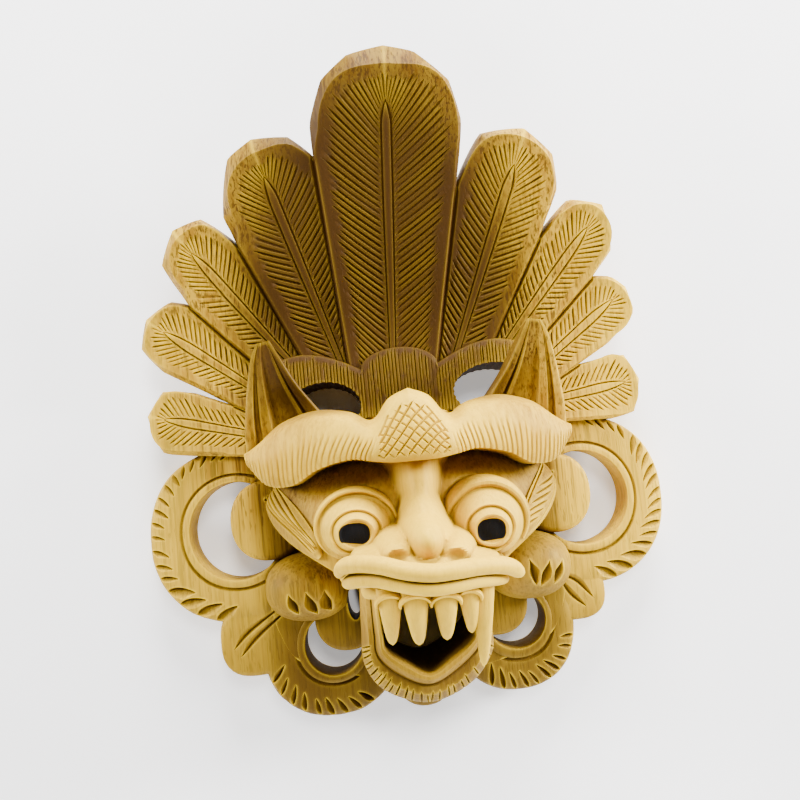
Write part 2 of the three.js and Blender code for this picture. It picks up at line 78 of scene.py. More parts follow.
PLATE_FRONT = 12.0
CROWN_ROOT_Z = 17.0
CROWN_RISE = 33.0
CROWN_START_Y = 5.0
CROWN_TOP_Y = 100.0
CROWN_FLARE = 2.5
CROWN_HALF_WIDTH = 80.0
CROWN_CURL = 1.6
FEATHER_THICKNESS = 7.0
ARCH_START = 0.76
ROOT_WIDTH = 0.6

# Feathers from the middle outwards. Rims are the widths of the chamfer on the left edge, at the
# tip and on the right edge; layer is how far a feather lies behind the middle one.
FEATHERS = [
    dict(root=(-2, 6), tip=(3, 100), half=23.4, layer=0.0, rims=(2.6, 4.2, 1.2)),
    dict(root=(-18, 10), tip=(-39.9, 79.1), half=17, layer=1.2, rims=(3.4, 3.4, 1.2)),
    dict(root=(18, 9), tip=(45, 76.5), half=16, layer=1.2, rims=(1.6, 2.2, 1.6)),
    dict(root=(-31.1, 8.7), tip=(-67.3, 56), half=12.4, layer=2.0, rims=(3.0, 2.6, 1.0)),
    dict(root=(31.9, 8.9), tip=(69.3, 53.5), half=11.3, layer=2.0, rims=(1.6, 1.6, 1.2)),
    dict(root=(-42, 2), tip=(-79.3, 30.3), half=11.3, layer=2.8, rims=(1.6, 1.4, 1.0)),
    dict(root=(42, 2), tip=(76.3, 28), half=10.5, layer=2.8, rims=(1.2, 1.2, 1.0)),
    dict(root=(-44, -10), tip=(-81.9, 0), half=10.8, layer=3.2, rims=(1.4, 1.2, 1.0)),
    dict(root=(44, -7), tip=(78.3, -2), half=11, layer=3.2, rims=(1.0, 1.0, 1.0)),
]

HEAD = dict(at=(0, -44), half=(50, 36), base=12, top=52, fullness=0.5)
SNOUT = dict(at=(0, -57), half=(26, 17.5), base=30, top=80, fullness=0.42)
NOSE_BULB = dict(at=(0.2, -43), half=(4.8, 5.6), base=71, top=82.4, fullness=0.5)
# Each eye: the ball's middle and radius, its height as a share of its width, and how far it leans
EYES = [
    dict(side=-1, at=(17.5, -39), z=52.0, radius=10.0, iris=6.2, tall=0.86, lean=0.17),
    dict(side=1, at=(18.6, -41), z=52.0, radius=10.2, iris=5.9, tall=0.94, lean=0.2),
]
LIDS = [
    dict(wide=11.0, roll=1.35, deep=9.0, rise=49.5, high=0.2, first=204, last=-34),
    dict(wide=11.0, roll=2.4, deep=9.5, rise=49.6, high=0.5, first=196, last=-20),
]
HOLLOW = dict(at=(0, -34, 0), half=(34, 28, 40))
CROWN_HOLES = [dict(at=(-25, -2.5), half=(11.5, 8)), dict(at=(30, -1), half=(13, 8.2))]

BIG_SCROLLS = [
    dict(at=(-57, -40), outer=(28, 28), hole=(15, 15.7), hole_at=(-56.9, -39)),
    dict(at=(56, -39.5), outer=(27, 27.5), hole=(14.7, 15.3), hole_at=(56.1, -38.8)),
]
SMALL_SCROLLS = [
    dict(at=(-30, -78.5), outer=(21.5, 21.7), hole=(9.3, 9.7), hole_at=(-28.8, -77.6)),
    dict(at=(29.5, -78), outer=(19.6, 20.2), hole=(9.5, 9.3), hole_at=(30.1, -75.6)),
]


# ---- small maths, all on whole arrays ----


def lerp(a, b, t):
    """a at t = 0, b at t = 1, straight between."""
    return a + (b - a) * t


def ease(t):
    """3 t^2 - 2 t^3, held between 0 and 1."""
    t = np.clip(t, 0, 1)
    return t * t * (3 - 2 * t)


def blend_max(a, b, r):
    """The larger of two heights, with a fillet of about r where they meet."""
    h = np.clip(0.5 + (a - b) / (2 * r), 0, 1)
    return lerp(b, a, h) + r * h * (1 - h)


def blend_min(a, b, r):
    """The smaller of two heights, filleted in the same way."""
    return -blend_max(-a, -b, r)


def through(points):
    """A uniform Catmull-Rom curve through points, with mirrored end points, for t in 0..1."""
    p = np.asarray(points, float)
    q = np.vstack([2 * p[0] - p[1], p, 2 * p[-1] - p[-2]])
    last = len(p) - 1

    def at(t):
        run = np.clip(np.asarray(t, float), 0, 1) * last
        i = np.minimum(last - 1, np.floor(run)).astype(int)
        s = (run - i)[..., None]
        a, b, c, d = q[i], q[i + 1], q[i + 2], q[i + 3]
        cube = 3 * (b - c) + d - a
        return b + 0.5 * s * (c - a + s * (2 * a - 5 * b + 4 * c - d + s * cube))

    return at


def rounded(at, half, turn, power=2.0):
    """x and y at an angle on a rounded box: (|cos|^p + |sin|^p)^(-1/p) times the half sizes."""
    c, s = np.cos(turn), np.sin(turn)
    reach = (np.abs(c) ** power + np.abs(s) ** power) ** (-1 / power)
    return np.stack([at[0] + half[0] * c * reach, at[1] + half[1] * s * reach], -1)


def mound(x, y, at, half, base, top, fullness):
    """base + (top - base)(1 - d)^fullness over an ellipse, and falling away outside it."""
    d = ((x - at[0]) / half[0]) ** 2 + ((y - at[1]) / half[1]) ** 2
    inside = base + (top - base) * np.maximum(1 - d, 0) ** fullness
    return np.where(d >= 1, base - 12 * (d - 1), inside)


def with_z(xy, z):
    """Points from x, y pairs and a height or heights."""
    return np.concatenate([xy, np.broadcast_to(np.asarray(z, float), xy.shape[:-1])[..., None]], -1)


def unit(v):
    """Vectors made one long."""
    return v / np.maximum(np.linalg.norm(v, axis=-1, keepdims=True), 1e-9)


def bump_noise(x, y, seed):
    """A smooth uneven height between about -1 and 1: four sine waves of unlike directions."""
    rng = np.random.default_rng(seed)
    total = 0
    for wave in rng.normal(size=(4, 3)):
        total = total + np.sin(wave[0] * x + wave[1] * y + 6 * wave[2])
    return total / 4


# ---- closed meshes ----


def zip_cap(front, back):
    """Triangles between two rows of corner numbers that share both ends of a seam: each step
    along either row, taken in the order of its middle, makes one triangle."""
    nf, nb = len(front) - 1, len(back) - 1
    middle = np.concatenate([(np.arange(nf) + 0.5) / nf, (np.arange(nb) + 0.5) / max(nb, 1)])
    order = np.argsort(middle, kind="stable")
    is_front = order < nf
    f = np.concatenate([[0], np.cumsum(is_front)[:-1]])
    b = np.concatenate([[0], np.cumsum(~is_front)[:-1]])
    third = np.where(is_front, front[np.minimum(f + 1, nf)], back[np.minimum(b + 1, nb)])
    return np.stack([front[f], back[b], third], 1)


def loft(rings, front=None, loop=False):
    """A closed skin through rings of equally many points, (rings, points, 3). Open ends are
    capped by zipping the first `front` points of the end ring to the others."""
    count, n = rings.shape[:2]
    i = np.arange(count if loop else count - 1)[:, None]
    j = np.arange(n)[None, :]
    a, b = i * n + j, i * n + (j + 1) % n
    c, d = ((i + 1) % count) * n + (j + 1) % n, ((i + 1) % count) * n + j
    faces = [np.stack([a, b, c], -1).reshape(-1, 3), np.stack([a, c, d], -1).reshape(-1, 3)]
    if not loop:
        front = front or n // 2
        cap = zip_cap(np.arange(front), np.arange(n - 1, front - 1, -1))
        faces += [cap, (count - 1) * n + cap[:, ::-1]]
    return weld(rings.reshape(-1, 3), np.concatenate(faces))


def weld(points, faces):
    """The same skin with equal points merged, collapsed triangles gone, and faces outwards."""
    keys = np.round(points * 1000 + 0.0137).astype(np.int64)
    _, first, place = np.unique(keys, axis=0, return_index=True, return_inverse=True)
    points, faces = points[first], place.reshape(-1)[faces]
    a, b, c = faces.T
    faces = faces[(a != b) & (b != c) & (c != a)]
    p, q, r = points[faces[:, 0]], points[faces[:, 1]], points[faces[:, 2]]
    if np.einsum("ij,ij->", p, np.cross(q, r)) < 0:
        faces = faces[:, ::-1]
    return points, faces


def slab(front, back):
    """A closed skin between a front and a back grid, (rows, columns, 3), with equal rows."""
    return loft(np.concatenate([front, back[:, ::-1]], 1), front=front.shape[1])


def grid(us, vs):
    """u and v over a grid with a row for each v."""
    v, u = np.meshgrid(vs, us, indexing="ij")
    return u, v


def tube(path, half, sides, power=2.0):
    """A section with half sizes (across, deep) carried along a path, level with +Z."""
    along = unit(np.gradient(path, axis=0))
    across = unit(np.cross(along, [0, 0, 1.0]))
    deep = np.cross(across, along)
    turn = (np.arange(sides) + 0.5) * 2 * math.pi / sides
    section = rounded((0, 0), (1, 1), turn, power)
    a = section[None, :, :1] * half[:, None, :1]
    b = section[None, :, 1:] * half[:, None, 1:]
    return loft(path[:, None] + a * across[:, None] + b * deep[:, None])


def prism(outline, low, high):
    """A straight-sided solid over an outline of x, y points."""
    return loft(np.stack([with_z(outline, low), with_z(outline, high)]))


def circle(sides):
    """Angles of a full turn without its end."""
    return np.arange(sides) * 2 * math.pi / sides


def furrow(path, up, half, depth, shape, lean=0.0, over=0.8):
    """A cutter for one V cut: a triangle carried along a path on a surface whose normals are
    up. shape gives the cut's share of full size along the path; lean moves its bottom across."""
    along = unit(np.gradient(path, axis=0))
    across = unit(np.cross(along, up))
    size = np.maximum(shape, 0.04)[:, None]
    reach = 1 + over / depth
    left = path + across * (half * size * (reach - lean * over / depth)) + up * over
    right = path - across * (half * size * (reach + lean * over / depth)) + up * over
    bottom = path - up * depth * size + across * half * lean * size
    return loft(np.stack([left, right, bottom], 1), front=2)


def in_threes(count):
    """Rows for a run of V cuts: one, three for each cut, and one. Gives the cut that each row
    belongs to, the row's place over the cut from -1 to 1, and 1 where it is the cut's bottom."""
    which = np.concatenate([[0], np.repeat(np.arange(count), 3), [count - 1]])
    role = np.concatenate([[0], np.tile([-1.0, 0.0, 1.0], count), [0]])
    cut = np.concatenate([[0], np.tile([0.0, 1.0, 0.0], count), [0]])
    return which, role, cut


def surface_path(surface, u, v):
    """Points and outward normals of a surface(u, v) along a path of u, v pairs."""
    step = 0.02
    here = surface(u, v)
    du = surface(u + step, v) - surface(u - step, v)
    dv = surface(u, v + step) - surface(u, v - step)
    n = unit(np.cross(du, dv))
    return here, np.where(n[..., 2:] < 0, -n, n)


def merged(shells):
    """Several closed skins that don't touch, as one."""
    start = np.cumsum([0] + [len(p) for p, _ in shells[:-1]])
    return (
        np.concatenate([p for p, _ in shells]),
        np.concatenate([f + s for (_, f), s in zip(shells, start)]),
    )


# ---- Blender objects ----


def collection(name):
    """The named collection, made on first use; the join takes it out again."""
    found = bpy.data.collections.get(name)
    if found is None:
        found = bpy.data.collections.new(name)
        bpy.context.scene.collection.children.link(found)
    return found


def mesh_of(name, points, faces):
    """A mesh in metres, over the middle of the solid's box."""
    mesh = bpy.data.meshes.new(name)
    mesh.vertices.add(len(points))
    mesh.vertices.foreach_set("co", ((points + TO_BOX_MIDDLE) / 1000).astype(np.float32).ravel())
    mesh.loops.add(faces.size)
    mesh.loops.foreach_set("vertex_index", faces.astype(np.int32).ravel())
    mesh.polygons.add(len(faces))
    mesh.polygons.foreach_set("loop_start", np.arange(0, faces.size, 3, dtype=np.int32))
    mesh.update(calc_edges=True)
    return mesh


def carve(group, name, skin):
    """Puts a closed skin into one of the groups that the mask is joined from."""
    obj = bpy.data.objects.new(name, mesh_of(name, *skin))
    collection(group).objects.link(obj)
    return obj


# ---- crown ----


def crown_z(x, y):
    """17 + 33 up^1.6 + 2.5 (x / 80)^2, with up from 0 at the root to 1 at the top."""
    up = np.maximum(0, (y - CROWN_START_Y) / (CROWN_TOP_Y - CROWN_START_Y))
    return CROWN_ROOT_Z + CROWN_RISE * up**CROWN_CURL + CROWN_FLARE * (x / CROWN_HALF_WIDTH) ** 2


def crown_up(x, y):
    """Unit normals of the crown's front, by central differences."""
    step = 0.5
    slope_x = (crown_z(x + step, y) - crown_z(x - step, y)) / (2 * step)
    slope_y = (crown_z(x, y + step) - crown_z(x, y - step)) / (2 * step)
    return unit(np.stack([-slope_x, -slope_y, np.ones_like(slope_x)], -1))


class Feather:
    """One feather: a leaf on the crown, with along and across measured from its root."""

    def __init__(self, root, tip, half, layer, rims):
        self.root, self.layer, self.half, self.rims = np.array(root, float), layer, half, rims
        way = np.array(tip, float) - self.root
        self.length = float(np.hypot(*way))
        self.along = way / self.length
        self.across = np.array([self.along[1], -self.along[0]])
        side = np.linspace(0, ARCH_START, 40)
        turn = np.linspace(0, math.pi / 2, 80)[1:]
        arch = ARCH_START + (1 - ARCH_START) * np.sin(turn) ** (2 / 2.4)
        a = half * np.concatenate([lerp(ROOT_WIDTH, 1, side / ARCH_START), np.cos(turn)])
        l = self.length * np.concatenate([side, arch])
        a[-1] = 0
        run = np.concatenate([[0], np.cumsum(np.hypot(np.diff(a), np.diff(l)))])
        self.run, self.edge = float(run[-1]), (run / run[-1], a, l)
        slope_a, slope_l = np.gradient(a, run), np.gradient(l, run)
        slope_a[-1], slope_l[-1] = -1, 0
        self.inward = (-slope_l, slope_a)

    def outline(self, s):
        """Across and along at a share s of the run from the root to the tip, right side."""
        return np.interp(s, self.edge[0], self.edge[1]), np.interp(s, self.edge[0], self.edge[2])

    def inset(self, s, by):
        """The outline moved inwards by a width."""
        a, l = self.outline(s)
        na, nl = (np.interp(s, self.edge[0], n) for n in self.inward)
        return np.maximum(a + na * by, 0), l + nl * by

    def point(self, a, l, lift):
        """The crown's surface at (across, along), behind by the layer, raised by lift."""
        x = self.root[0] + self.along[0] * l + self.across[0] * a
        y = self.root[1] + self.along[1] * l + self.across[1] * a
        base = np.stack([x, y, crown_z(x, y) - self.layer], -1)
        return base + crown_up(x, y) * np.asarray(lift)[..., None]

    def holds(self, x, y):
        """Whether x, y lies inside the leaf."""
        dx, dy = x - self.root[0], y - self.root[1]
        l = dx * self.along[0] + dy * self.along[1]
        a = dx * self.across[0] + dy * self.across[1]
        v = np.clip(l / self.length, 0, 1)
        arch = np.maximum(0, (v - ARCH_START) / (1 - ARCH_START))
        wide = lerp(ROOT_WIDTH, 1, np.minimum(1, v / ARCH_START)) * np.sqrt(1 - arch**2.4)
        return (np.abs(a) < self.half * wide) & (l < self.length)

    def hidden_share(self, side, others):
        """The share of the run at which this side's outline leaves every other feather."""
        s = np.linspace(0.05, 1, 400)
        a, l = self.outline(s)
        p = self.point(side * a, l, np.zeros_like(a))
        inside = np.any([one.holds(p[:, 0], p[:, 1]) for one in others], axis=0)
        return float(s[inside].max()) if inside.any() else 0.0

    def rim(self, s, side, free):
        """Width of the edge's chamfer: a small one where the next feather hides it, then the
        free edge's, then the tip's."""
        small = 0.7
        own = self.rims[0] if side < 0 else self.rims[2]
        width = lerp(small, own, ease((s - free) / 0.07))
        return lerp(width, self.rims[1], ease((s - 0.82) / 0.16))


def barb_root(s, below):
    """Where a barb leaves the rib, as a share of the length, for its share s of the edge's run.
    The upper barbs crowd together on the rib and stand ever steeper."""
    return (0.84 + below) * (1 - (1 - np.clip(s, 0, 1)) ** 1.3) - below


def feather_skin(one, others, sizes, seed):
    """A feather's closed skin. Rows follow the barbs from the rib to the edge, three to a barb:
    the V of the cut lies between two level shoulders. Its depth is a window along the barb."""
    rng = np.random.default_rng(seed)
    spacing = sizes.barb_spacing * 1000
    count = int(round(one.run / spacing))
    below = 1.28 * one.half * ROOT_WIDTH / one.length
    fractions = np.linspace(0, 1, sizes.barb_steps + 1)[1:]
    rib = np.array([0.95, 1.3, 1.7])
    rib_share = np.array([0.1, 0.14, 0.19])
    centres = (np.arange(count) + 0.5) / count
    which, role, cut = in_threes(count)
    parts, rims, backs = {}, {}, {}
    for side in (-1, 1):
        free = one.hidden_share(side, others)
        jitter = rng.uniform(-0.1, 0.1, count) / count
        s_mid = centres + jitter
        edge_a, edge_l = one.inset(s_mid, one.rim(s_mid, side, free))
        reach = np.hypot(edge_a, edge_l - barb_root(s_mid, below) * one.length)
        margin = lerp(4.4, 2.9, ease((s_mid - 0.5) / 0.4)) * min(1, one.half / 17)
        margin = margin + rng.uniform(-1.1, 0.8, count) * min(1, one.half / 15)
        end = 1 - np.maximum(margin, 0.4) / reach
        start = (1.15 + rng.uniform(0, 1.1, count)) / np.maximum(edge_a, 9)
        depth = sizes.barb_depth * 1000 * rng.uniform(0.7, 1.2, count)
        faint = lerp(1.0, 0.7, ease((s_mid - 0.45) / 0.3))
        row_s = np.concatenate([[0], np.repeat(s_mid, 3), [1]])
        base_a, _ = one.inset(row_s, one.rim(row_s, side, free))
        rib_wide = lerp(0.62, 1.15, ease(row_s / 0.7))[:, None]
        a_rib = np.minimum(rib[None] * rib_wide, base_a[:, None] * rib_share[None])
        t_rib = np.where(base_a[:, None] > 1e-3, a_rib / np.maximum(base_a[:, None], 1e-3), rib_share)
        t = np.concatenate([t_rib, t_rib[:, -1:] + (1 - t_rib[:, -1:]) * fractions[None]], 1)
        close = ease((t - start[which][:, None]) / 0.07) * ease((end[which][:, None] - t) / 0.085)
        soft = lerp(faint[which][:, None], 1.0, ease((t - 0.2) / 0.45))
        s = row_s[:, None] + role[:, None] * (0.07 + 0.25 * close) / count
        rim = one.rim(s, side, free)
        e_a, e_l = one.inset(s, rim)
        r_l = barb_root(s, below) * one.length
        bow = 0.015 * reach[which][:, None] * np.sin(math.pi * t) * (1 - ease((s - 0.6) / 0.4))
        a, l = t * e_a, r_l + (e_l - r_l) * t - bow
        along = l / one.length
        ribbed = 1 - ease((along - 0.84) / 0.08)
        lift = 0.4 + 0.25 * ease(t) + 0.12 * bump_noise(a / 7, l / 9, seed + side)
        lift = lift - cut[:, None] * depth[which][:, None] * close * soft
        lift[:, :3] = 0.4 + ribbed[:, :3] * np.array([0.2, -0.6, 0.0])
        # flats that the knife left along the free edge: chords between uneven places
        knots = np.linspace(free, 1, max(3, int(one.run * (1 - free) / sizes.edge_flat / 1000)))
        knots[1:-1] += rng.uniform(-0.3, 0.3, len(knots) - 2) * (knots[1] - knots[0])
        on_edge = s[:, -1]
        o_a, o_l = one.outline(on_edge)
        flat_a, flat_l = (np.interp(on_edge, knots, part) for part in one.outline(knots))
        chord = np.where(on_edge > free, 0.75, 0)
        o_a, o_l = lerp(o_a, flat_a, chord), lerp(o_l, flat_l, chord)
        drop = np.minimum(0.95 * rim[:, -1], 4.4)
        parts[side] = one.point(side * a, l, lift)
        rims[side] = one.point(side * o_a, o_l, 0.3 - drop)
        backs[side] = one.point(side * o_a, o_l, np.full_like(o_a, -FEATHER_THICKNESS))
    middle_s = np.concatenate([[0], np.repeat(centres, 3), [1]]) + 0.2 * role / count
    middle_l = barb_root(middle_s, below) * one.length
    middle_lift = np.full_like(middle_l, 0.65)
    middle = one.point(0 * middle_l, middle_l, middle_lift)[:, None]
    behind = one.point(0 * middle_l, middle_l, np.full_like(middle_l, -FEATHER_THICKNESS))[:, None]
    front = [rims[-1][:, None], parts[-1][:, ::-1], middle, parts[1], rims[1][:, None]]
    back = [backs[-1][:, None], behind, backs[1][:, None]]
    return slab(np.concatenate(front, 1), np.concatenate(back, 1))


def boundary_cuts(feathers):
    """V lines along the edges of each feather, where it lies on the next one."""
    shells = []
    for one in feathers[:7]:
        for side in (-1, 1):
            lower = [other for other in feathers if other.layer > one.layer]
            free = one.hidden_share(side, lower)
            if free < 0.15:
                continue
            s = np.linspace(0.03, free + 0.015, 40)
            a, l = one.inset(s, -0.45)
            under = min(other.layer for other in lower)
            lift = np.full_like(a, one.layer - under + 0.55)
            path = one.point(side * a, l, lift)
            up = crown_up(path[:, 0], path[:, 1])
            shape = ease(s / 0.05) * ease((free + 0.02 - s) / 0.04)
            shells.append(furrow(path, up, 0.55, 0.95, shape, over=1.0))
    return shells


# ---- band ----

BAND_FRONT = 19.5
BAND_HALF = 46.0
ARCH_HALF = 12.3
ARCH_FOOT = 8.5
ARCH_HEIGHT = 6.3


def band_top(x):
    """Height of the band's scalloped edge: half an ellipse between two sine arches."""
    off = np.abs(x)
    middle = ARCH_HEIGHT * np.sqrt(np.maximum(0, 1 - (off / ARCH_HALF) ** 2))
    outer = ARCH_HEIGHT * np.sin(np.maximum(0, math.pi * (off - ARCH_HALF) / 37))
    return ARCH_FOOT + np.where(off < ARCH_HALF, middle, outer)


def band_skin(sizes, seed):
    """The band: columns of short upright V cuts, three columns to a cut, with jittered ends."""
    rng = np.random.default_rng(seed)
    count = int(2 * BAND_HALF / (sizes.dash_spacing * 1000))
    jit = rng.uniform(-0.18, 0.18, count)
    x_mid = -BAND_HALF + (np.arange(count) + 0.5 + jit) * 2 * BAND_HALF / count
    step = 0.3 * 2 * BAND_HALF / count
    columns = (x_mid[:, None] + np.array([-step, 0, step])).ravel()
    xs = np.concatenate([[-BAND_HALF], columns, [BAND_HALF]])
    which, _, cut = in_threes(count)
    low = rng.uniform(-17, -13, count)
    high = rng.uniform(0.2, 1.9, count)
    gap = rng.uniform(-8, 10, (2, count))
    depth = rng.uniform(0.35, 0.75, count)
    v = np.concatenate([np.linspace(0, 1, 26), [1.0]])
    u, x = grid(v, xs)
    top = band_top(x)
    y = lerp(-24.0, top, u)
    run = top - y
    window = ease((y - low[which][:, None]) / 1.5) * ease((run - high[which][:, None]) / 1.4)
    broken = 1 - 0.9 * np.exp(-(((y - gap[0][which][:, None]) / 0.8) ** 2))
    broken = broken * (1 - 0.9 * np.exp(-(((y - gap[1][which][:, None]) / 0.6) ** 2)))
    lift = -cut[:, None] * depth[which][:, None] * window * broken
    front = np.stack([x, y, BAND_FRONT + lift - 0.5 * ease(1 - run / 1.2)], -1)
    front[:, -1, 2] -= 0.9
    front[:, -1, 1] += 0.35
    back_y = np.stack([0 * xs - 24, band_top(xs) + 0.35], 1)
    back = np.stack([np.stack([xs, xs], 1), back_y, 0 * back_y], -1)
    return slab(front, back)


# ---- plate and scrolls ----

PLATE_HALF = through([[9, -91], [37, -84], [46, -72], [49, -55], [50, -35], [49, -12], [44, 4]])


def plate_skin():
    """The sawn plate: u times its half width across, from the chin up to the band."""
    u, v = grid(np.array([-1.0, 1.0]), np.linspace(0, 1, 60))
    edge = PLATE_HALF(v)
    front = np.stack([u * edge[..., 0], edge[..., 1], 0 * u + PLATE_FRONT], -1)
    return slab(front, front * [1, 1, 0])


def scroll_xy(one, turn, share):
    """x, y at a share of the way from a scroll's hole (0) to its outer edge (1)."""
    inner = rounded(one["hole_at"], one["hole"], turn)
    outer = rounded(one["at"], one["outer"], turn, 2.2)
    return lerp(inner, outer, np.asarray(share)[..., None])


def scroll_skin(one, sides, seed):
    """A ring round the hole: a raised lip, a furrow, a level field and an eased edge."""
    width = float(one["outer"][0] - one["hole"][0])
    mm = 1 / width
    profile = np.array(
        [
            (0, 0),
            (0, PLATE_FRONT + 0.1),
            (0.2 * mm, PLATE_FRONT + 0.5),
            (1.0 * mm, PLATE_FRONT + 0.62),
            (1.9 * mm, PLATE_FRONT + 0.5),
            (2.2 * mm, PLATE_FRONT + 0.3),
            (2.5 * mm, PLATE_FRONT - 0.8),
            (2.8 * mm, PLATE_FRONT - 0.85),
            (3.4 * mm, PLATE_FRONT - 0.1),
            (4.4 * mm, PLATE_FRONT),
            (0.6, PLATE_FRONT - 0.05),
            (0.86, PLATE_FRONT - 0.35),
            (0.95, PLATE_FRONT - 0.9),
            (1, PLATE_FRONT - 2.0),
            (1, 0),
        ]
    )
    turn, s = np.meshgrid(circle(sides), profile[:, 0], indexing="ij")
    z = np.broadcast_to(profile[:, 1], s.shape).copy()
    z = z + np.where(z > 5, 0.14 * bump_noise(6 * np.cos(turn) + s, 6 * np.sin(turn), seed), 0)
    worn = 0.012 * bump_noise(9 * np.cos(turn), 9 * np.sin(turn), seed + 1)
    return loft(with_z(scroll_xy(one, turn, s + np.where(s >= 0.95, worn, 0)), z), loop=True)


def scroll_cuts(one, marks, seed):
    """Crescent gouges round a scroll. Each run of marks is (first turn, last turn, count, share
    of the ring reached inwards, sweep, half width, depth, lean); turns and sweep in degrees."""
    rng = np.random.default_rng(seed)
    shells = []
    for first, last, count, inner, sweep, half, depth, lean in marks:
        for turn in np.linspace(first, last, count):
            q = np.linspace(0, 1, 14)
            size = rng.uniform(0.88, 1.12)
            swing = sweep * size * q**1.7 + rng.uniform(-0.8, 0.8)
            xy = scroll_xy(one, np.radians(turn + swing), lerp(1.03, 1 - (1 - inner) * size, q))
            path = with_z(xy, PLATE_FRONT - 0.4)
            up = np.broadcast_to([0, 0, 1.0], path.shape)
            shape = np.sin(math.pi * np.clip(0.26 + 0.74 * q, 0, 1)) ** 0.7
            shells.append(furrow(path, up, half * size, depth * size, shape, lean, over=1.6))
    return shells


# The paired veins on the leaf-shaped lobes
LEAF_VEINS = [
    [(-60.7, -76.3), (-55.6, -71.0), (-45.3, -64.6)],
    [(-58.6, -78.8), (-53.2, -72.9), (-44.4, -66.6)],
    [(46.0, -62.6), (51.6, -65.5), (56.4, -71.6)],
    [(46.2, -64.6), (49.2, -69.4), (53.4, -73.9)],
]


def vein_cuts():
    """V cuts along the veins of the leaf lobes, pointed at both ends."""
    t = np.linspace(0, 1, 20)
    up = np.broadcast_to([0, 0, 1.0], (20, 3))
    shape = np.sin(math.pi * np.linspace(0.04, 0.96, 20)) ** 0.7
    paths = [with_z(through(vein)(t), PLATE_FRONT - 0.4) for vein in LEAF_VEINS]
    return [furrow(path, up, 1.15, 1.4, shape, 0.3, over=1.2) for path in paths]


def lobe_skin(at, half, profile, side, power=2.2, sides=44, seed=0):
    """A lobe: (share of the outline, height) pairs carried round a rounded outline."""
    turn, share = np.meshgrid(circle(sides), profile[:, 0], indexing="ij")
    xy = rounded(at, half, turn, power)
    x = side * lerp(at[0], xy[..., 0], share)
    y = lerp(at[1], xy[..., 1], share)
    z = np.broadcast_to(profile[:, 1], share.shape)
    uneven = np.where(share < 0.97, 0.15 * bump_noise(x / 3, y / 3, seed), 0)
    return loft(np.stack([x, y, z + uneven], -1).transpose(1, 0, 2))


def flat_profile(front):
    """An upright side, an eased edge and a level top that ends in the middle."""
    edge = [(1, 0), (1, front - 1.6), (0.985, front - 0.8), (0.94, front - 0.25), (0.86, front)]
    return np.array(edge + [(0.6, front + 0.05), (0.3, front + 0.1), (0.002, front + 0.1)])


# ---- head ----

# Down the nose: y, half width and height
NOSE_RIDGE = np.array(
    [[-16, 6.6, 58.5], [-24, 4.2, 60], [-32, 3.1, 62.5], [-38, 3.8, 68.5], [-44, 4.8, 76]]
)
# A roll that arches over each nostril, from the nose outwards
NOSTRILS = [dict(at=(-7.4, -45.6), half=(4.3, 3.6)), dict(at=(6.9, -46.6), half=(4.6, 3.3))]


def head_z(x, y):
    """The head's front: a dome joined to the snout, the nose and its round tip by fillets, with
    a bowl round each eye and a scoop for each nostril."""
    off = np.abs(x)
    z = blend_max(mound(x, y, **HEAD), mound(x, y, **SNOUT), 3)
    from_eye = np.hypot(off - 18.8, y + 37.5)
    z = blend_min(z, 42 + 24 * (from_eye / 15.5) ** 4, 2)
    half = np.interp(-y, -NOSE_RIDGE[:, 0], NOSE_RIDGE[:, 1])
    crest = np.interp(-y, -NOSE_RIDGE[:, 0], NOSE_RIDGE[:, 2])
    crest = crest - 40 * np.maximum(0, -45 - y) / 8
    ridge = crest - 3.2 * (np.abs(x - 0.7) / half) ** 2.3
    z = blend_max(z, ridge, 1.8)
    z = blend_max(z, mound(x, y, **NOSE_BULB), 1.2)
    lip_y, lip_z = lip_ledge(x)
    steep = lerp(1.3, 4.5, ease((np.abs(x + 0.3) - 8) / 7))
    rise = np.maximum(0, y - lip_y)
    ramp = lip_z - 3.2 - steep * rise - 0.17 * rise**2 - 7 * np.maximum(0, np.abs(x - 0.5) - 19)
    z = blend_max(z, ramp, 2.2)
    z = blend_min(z, lip_z + 1 - 4.5 * np.maximum(0, lip_y - 2.3 - y), 1.2)
    for one in NOSTRILS:
        across, up = x - one["at"][0], y - one["at"][1]
        wing = np.hypot(across / one["half"][0], up / one["half"][1])
        arch = 72.5 + 6.4 * np.sqrt(np.maximum(0, 1 - wing**2)) - 20 * np.maximum(0, wing - 1)
        z = blend_max(z, arch, 1.0)
        scoop = np.hypot(across / (0.62 * one["half"][0]), (up + 0.6) / 1.7)
        z = blend_min(z, 76.5 + 1.5 * scoop**2, 1.5)
    return z


HEAD_HALF = through([[18, -58], [24.5, -52], [38.5, -42], [46, -32], [47, -22], [44, -9]])


def head_skin():
    """The head: its front over a grid that narrows towards the mouth, and a flat back."""
    us = np.linspace(-1, 1, 161)
    us = 0.55 * us + 0.45 * us**3
    u, v = grid(us, np.linspace(0, 1, 104))
    edge = HEAD_HALF(v)
    x, y = u * edge[..., 0], edge[..., 1]
    uneven = 0.16 * bump_noise(x / 3.5, y / 3.5, 5)
    front = np.stack([x, y, np.maximum(9, head_z(x, y) + uneven)], -1)
    back = np.stack([x, y, 0 * x + 5], -1)[:, [0, -1]]
    return slab(front, back)


BROW_TOP = through(
    [
        [0, -4.7, 64], [5.6, -7.2, 63.5], [10.6, -12.4, 61], [17, -9.3, 57.5], [27, -7.8, 52.5],
        [37, -10, 47.5], [44, -13.8, 42.5], [49, -15.6, 38],
    ]
)
BROW_FOOT = through(
    [
        [0, -22.7, 67], [6, -22.6, 66.5], [11.5, -21.8, 64], [18, -20.8, 60.5], [27, -22.6, 55],
        [34.5, -26.2, 49.5], [42.3, -25.6, 44], [48.2, -19.6, 38.5],
    ]
)
PEAK_SHARE = 0.27


